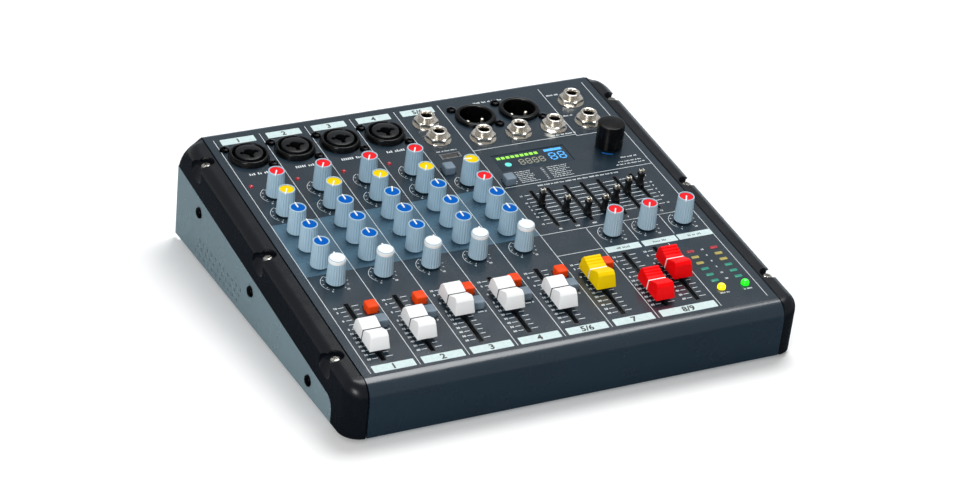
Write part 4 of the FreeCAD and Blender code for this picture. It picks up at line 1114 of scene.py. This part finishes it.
def number(bm, text, centre, height, turn=0.0):
    """Print a number on the panel."""
    points, faces = glyph(text)
    placing = Matrix.Translation((centre[0], centre[1], 0)) @ Matrix.Rotation(math.radians(-turn), 4, "Z")
    middle, thick = (INK_LOW + INK_HIGH) / 2, INK_HIGH - INK_LOW
    verts = []
    for p in points:
        spot = placing @ Vector((p.x * height, p.y * height, 0))
        verts.append(bm.verts.new((spot.x, spot.y, middle + p.z * thick)))
    for face in faces:
        bm.faces.new([verts[n] for n in face])


DIVIDER_WIDTH = 0.36


def stroke(bm, start, end, width=0.35):
    """Printed straight line between two (x, s) points."""
    run = Vector((end[0] - start[0], end[1] - start[1]))
    side = Vector((-run.y, run.x)).normalized() * width / 2
    ends = ((start, -1), (end, -1), (end, 1), (start, 1))
    slab(bm, [(p[0] + sign * side.x, p[1] + sign * side.y) for p, sign in ends], INK_LOW, INK_HIGH)


def arc(bm, centre, radius, start, end, width=0.3):
    """Printed arc between two clockwise angles from up the slope."""
    steps = max(4, int(abs(end - start) / 9))
    inner, outer = [[around(centre, reach, start + (end - start) * n / steps) for n in range(steps + 1)]
                    for reach in (radius - width / 2, radius + width / 2)]
    slab(bm, inner + outer[::-1], INK_LOW, INK_HIGH)


def dashes(bm, centre, width, height=0.9):
    """A row of blank strokes, grouped like short words, where a legend would be."""
    x, end = centre[0] - width / 2, centre[0] + width / 2
    step = height * 0.62
    left_in_word = random.randint(2, 6)
    while x + step * 0.6 < end:
        tall = height * random.choice((0.72, 1.0, 1.0))
        bar(bm, (x + step * 0.3, centre[1] + (tall - height) / 2), step * 0.6, tall, INK_LOW, INK_HIGH)
        left_in_word -= 1
        x += step
        if left_in_word == 0:
            left_in_word = random.randint(2, 6)
            x += step


def frame_lines(bm):
    """Dividers between the strips and around the master section."""
    upright = [(x, 0.0, DIVIDER_TOP_S) for x in STRIP_X]
    upright += [(54.0, 0.0, 95.4), (94.8, 0.0, 66.8), (94.8, 191.2, DIVIDER_TOP_S), (126.1, 1.0, 190.0),
                (126.1, 206.0, DIVIDER_TOP_S), (78.9, 75.2, 95.4), (103.2, 75.2, 95.4)]
    level = [(24.0, 94.8, 193.0), (94.8, 126.1, 191.2), (25.5, 126.1, 149.2), (24.0, 114.4, 96.3),
             (24.0, 54.0, 73.6)]
    for x, low, high in upright:
        stroke(bm, (x, low), (x, high), DIVIDER_WIDTH)
    for low, high, s in level:
        stroke(bm, (low, s), (high, s), DIVIDER_WIDTH)


def around(centre, reach, degrees):
    """(x, s) at a distance from a centre, clockwise from up the slope."""
    angle = math.radians(degrees)
    return centre[0] + reach * math.sin(angle), centre[1] + reach * math.cos(angle)


def knob_scale(bm, centre, spread=7.0, numbered=True):
    """Ring of ticks around a knob, with a fine arc and the end numbers."""
    for n in range(11):
        angle = -150 + 30 * n
        stroke(bm, around(centre, spread, angle), around(centre, spread + 0.9, angle), 0.4)
    if numbered:
        arc(bm, centre, spread + 1.7, -135, -30, 0.28)
        for text, angle in (("0", -150), ("10", 150), ("5", 0)):
            number(bm, text, around(centre, spread + 2.6, angle), 2.0)


def knob_scales(light, dark):
    for joint in knob_joints():
        place = joint_place(joint["name"])
        on_band = BAND_S[0] < place[1] < BAND_S[1]
        knob_scale(dark if on_band else light, place, numbered=not on_band)


def fader_scales(bm):
    """Ticks on both sides of every fader slot with the level numbers at the left."""
    texts = ["10", "5", "", "0", "", "5", "10", "15", "20", "30", "40", "50", "60"]
    for x in FADER_X:
        for n, text in enumerate(texts):
            s = FADER_CENTRE_S + 25.0 - 50.0 * n / 12
            stroke(bm, (x - 5.8, s), (x - 2.4, s), 0.42)
            stroke(bm, (x + 2.4, s), (x + (6.6 if n % 3 == 0 else 5.6), s), 0.42)
            if text:
                number(bm, text, (x - 7.7, s), 2.3)


def slot_borders(bm):
    """Dark print round every slot."""
    slots = [(x, FADER_CENTRE_S, 2.8, 56.4) for x in FADER_X]
    slots += [(x, EQ_CENTRE_S, 2.2, 39.5) for x in EQ_X]
    for x, middle, width, length in slots:
        inner, outer = width / 2, width / 2 + 0.6
        for side in (-1, 1):
            bar(bm, (x + side * (inner + outer) / 2, middle), outer - inner, length + 1.2, INK_LOW, INK_HIGH)
            bar(bm, (x, middle + side * (length / 2 + 0.3)), width, 0.6, INK_LOW, INK_HIGH)


def eq_scale(bm):
    """Level lines across the seven equaliser slots, broken at each slot."""
    edges = [EQ_X[0] - 6.0] + EQ_X + [EQ_X[-1] + 6.0]
    for n in range(9):
        s = EQ_CENTRE_S + 3.9 * (4 - n)
        for left, right in zip(edges, edges[1:]):
            start = left + (2.0 if left in EQ_X else 0.0)
            end = right - (2.0 if right in EQ_X else 0.0)
            stroke(bm, (start, s), (end, s), 0.55 if n == 4 else 0.4)
        text = ("15", "", "10", "5", "0", "5", "10", "", "15")[n]
        for x in (EQ_X[0] - 8.2, EQ_X[-1] + 8.2):
            if text:
                number(bm, text, (x, s), 1.9)
    for n, x in enumerate(EQ_X):
        number(bm, ("60", "150", "400", "1", "2", "6", "12")[n], (x, 99.6), 2.0)


def legends(bm):
    """Blank dashes in place of the panel's words, and the meter numbers."""
    for x in STRIP_X[:4]:
        dashes(bm, (x + 15.2, 206.6), 15.0, 2.2)
    single = [(8.3, 198.0, 14.0, 1.1), (57.0, 244.0, 20.0, 1.6), (100.5, 239.5, 8.0, 1.5),
              (100.0, 214.5, 7.0, 1.5), (88.0, 195.2, 18.0, 1.3), (116.0, 160.5, 12.0, 1.2),
              (114.0, 156.0, 16.0, 1.0), (113.5, 153.2, 20.0, 1.0)]
    for x, s, width, height in single:
        dashes(bm, (x, s), width, height)
    for left, width in ((34.0, 2.2), (38.2, 13.0), (56.0, 2.2), (60.2, 14.0)):
        for n in range(7):
            run = width * random.uniform(0.7, 1.0)
            dashes(bm, (left + run / 2, 163.4 - 1.9 * n), run, 0.75)
    dashes(bm, (74.0, 146.0), 56.0, 1.2)
    for x in STRIP_X[:5]:
        for s in (48.6, 36.0):
            dashes(bm, (x + 24.5, s), 5.6, 1.1)
    for n, text in enumerate(("10", "5", "0", "5", "10", "20")):
        number(bm, text, (111.3, METER_S[n]), 2.0)
    for place in STATUS_LAMPS:
        dashes(bm, (place[0], place[1] - 5.0), 6.5, 1.1)


def label_bars(bars, dark):
    """Pale label bars with dark channel numbers, at both ends of the strips and in the master section."""
    top, bottom = 244.8, 3.3
    for n, x in enumerate(STRIP_X[:5]):
        loft_bar(bars, (x + 14.8, top), 22.2, 6.4)
        text = "5/6" if n == 4 else str(n + 1)
        number(dark, text, (x + 14.8, top - 0.2), 5.6)
    for n, x in enumerate(STRIP_X):
        loft_bar(bars, (x + 15.2, bottom), 25.5, 6.4)
        text = "5/6" if n == 4 else str(n + 1)
        number(dark, text if n < 5 else "7", (x + 15.2, bottom - 0.2), 6.4)
    loft_bar(bars, (74.8, bottom), 36.5, 6.4)
    number(dark, "8/9", (74.8, bottom - 0.2), 6.4)
    for x in (66.6, 91.0, 114.6):
        loft_bar(bars, (x, 70.8), 22.6, 5.6)
        dashes(dark, (x, 70.8), 9.0, 1.6)


def loft_bar(bm, centre, width, length):
    loft(bm, [rounded_ring(width, length, 0.5, INK_LOW, centre=centre),
              rounded_ring(width, length, 0.5, INK_HIGH - 0.01, centre=centre)])


def panel_print():
    white, pale, numbers, deep, blue = [bmesh.new() for _ in range(5)]
    frame_lines(white)
    knob_scales(white, deep)
    fader_scales(white)
    slot_borders(deep)
    eq_scale(white)
    legends(white)
    label_bars(pale, numbers)
    # Small blue arc on the panel at the encoder's front-left foot.
    arc(blue, joint_place("encoder_turn"), 9.4, 190, 232, 1.2)
    prints = [("print_white", white, INK_WHITE), ("print_labels", pale, INK_PALE),
              ("encoder_foot_arc", blue, ENCODER_FOOT_BLUE), ("print_label_numbers", numbers, INK_DARK),
              ("print_dark", deep, INK_DARK)]
    for name, bm, colour in prints:
        piece(name, finish_mesh(bm, name), [colour])


# ---- studio ----

def studio():
    sweep = turned("studio_floor", [(6.0 / MM, -2.0), (6.0 / MM, 0.0)], 64)
    sweep.materials.append(floor_finish())
    placed("studio_floor", sweep)
    dark_card()
    world = bpy.data.worlds.new("studio")
    bpy.context.scene.world = world
    world.use_nodes = True
    fill(world.node_tree.nodes["Background"], {"Color": (0.98, 0.99, 1.0, 1.0), "Strength": 0.37})
    area_light("overhead", (0.45, 0.3, 1.5), (0.9, 0.8), 17.5)
    area_light("rear_card", (1.7, 2.8, 0.6), (3.6, 1.3), 15.0, (0.72, 0.87, 1.0))
    area_light("front_left", (-1.5, -1.5, 1.0), (0.7, 0.9), 22.0)


def dark_card():
    """Dark card on the floor round the console, seen only in its reflections."""
    mesh = turned("dark_card", [(0.8 / MM, 0.2), (0.8 / MM, 0.4)], 64)
    mesh.materials.append(Finish("card_grey", "", (52, 60, 68), 0.9).mottle(0.05, 3.0).done())
    card = placed("dark_card", mesh)
    card.visible_camera = False
    card.visible_diffuse = False
    card.visible_shadow = False


def area_light(name, spot, size, power, colour=(1.0, 1.0, 1.0)):
    """Softbox of a given width and height, aimed at the console."""
    data = bpy.data.lights.new(name, "AREA")
    data.shape = "RECTANGLE"
    data.size, data.size_y = size
    data.energy = power
    data.color = colour
    lamp_object = placed(name, data)
    lamp_object.location = spot
    lamp_object.rotation_euler = (Vector(spot) - Vector((0, 0, 0.05))).to_track_quat("Z", "Y").to_euler()


CAMERA_SPOT = Vector((-0.7122, -1.4533, 0.8580))
CAMERA_FORWARD = Vector((0.39259, 0.80095, -0.45205))
CAMERA_ROLL = 2.35
CAMERA_LENS = 113.2


def camera():
    """Long lens from the front left, well above the console."""
    forward = CAMERA_FORWARD.normalized()
    level = forward.cross(Vector((0, 0, 1))).normalized()
    right = Matrix.Rotation(math.radians(-CAMERA_ROLL), 3, forward) @ level
    up = right.cross(forward)
    data = bpy.data.cameras.new("camera")
    data.lens = CAMERA_LENS
    data.sensor_width = 36.0
    obj = placed("camera", data)
    obj.matrix_world = Matrix.Translation(CAMERA_SPOT) @ Matrix((right, up, -forward)).transposed().to_4x4()
    bpy.context.scene.camera = obj


def main():
    for make in (case, cheeks, screws, rubber_feet, boards, xlr_sockets, phone_jacks, lamps, display,
                 panel_knobs, encoder, faders, eq_sliders, push_buttons, power_rocker, panel_print,
                 studio, camera):
        make()
    bpy.context.scene.view_settings.view_transform = "Standard"


main()
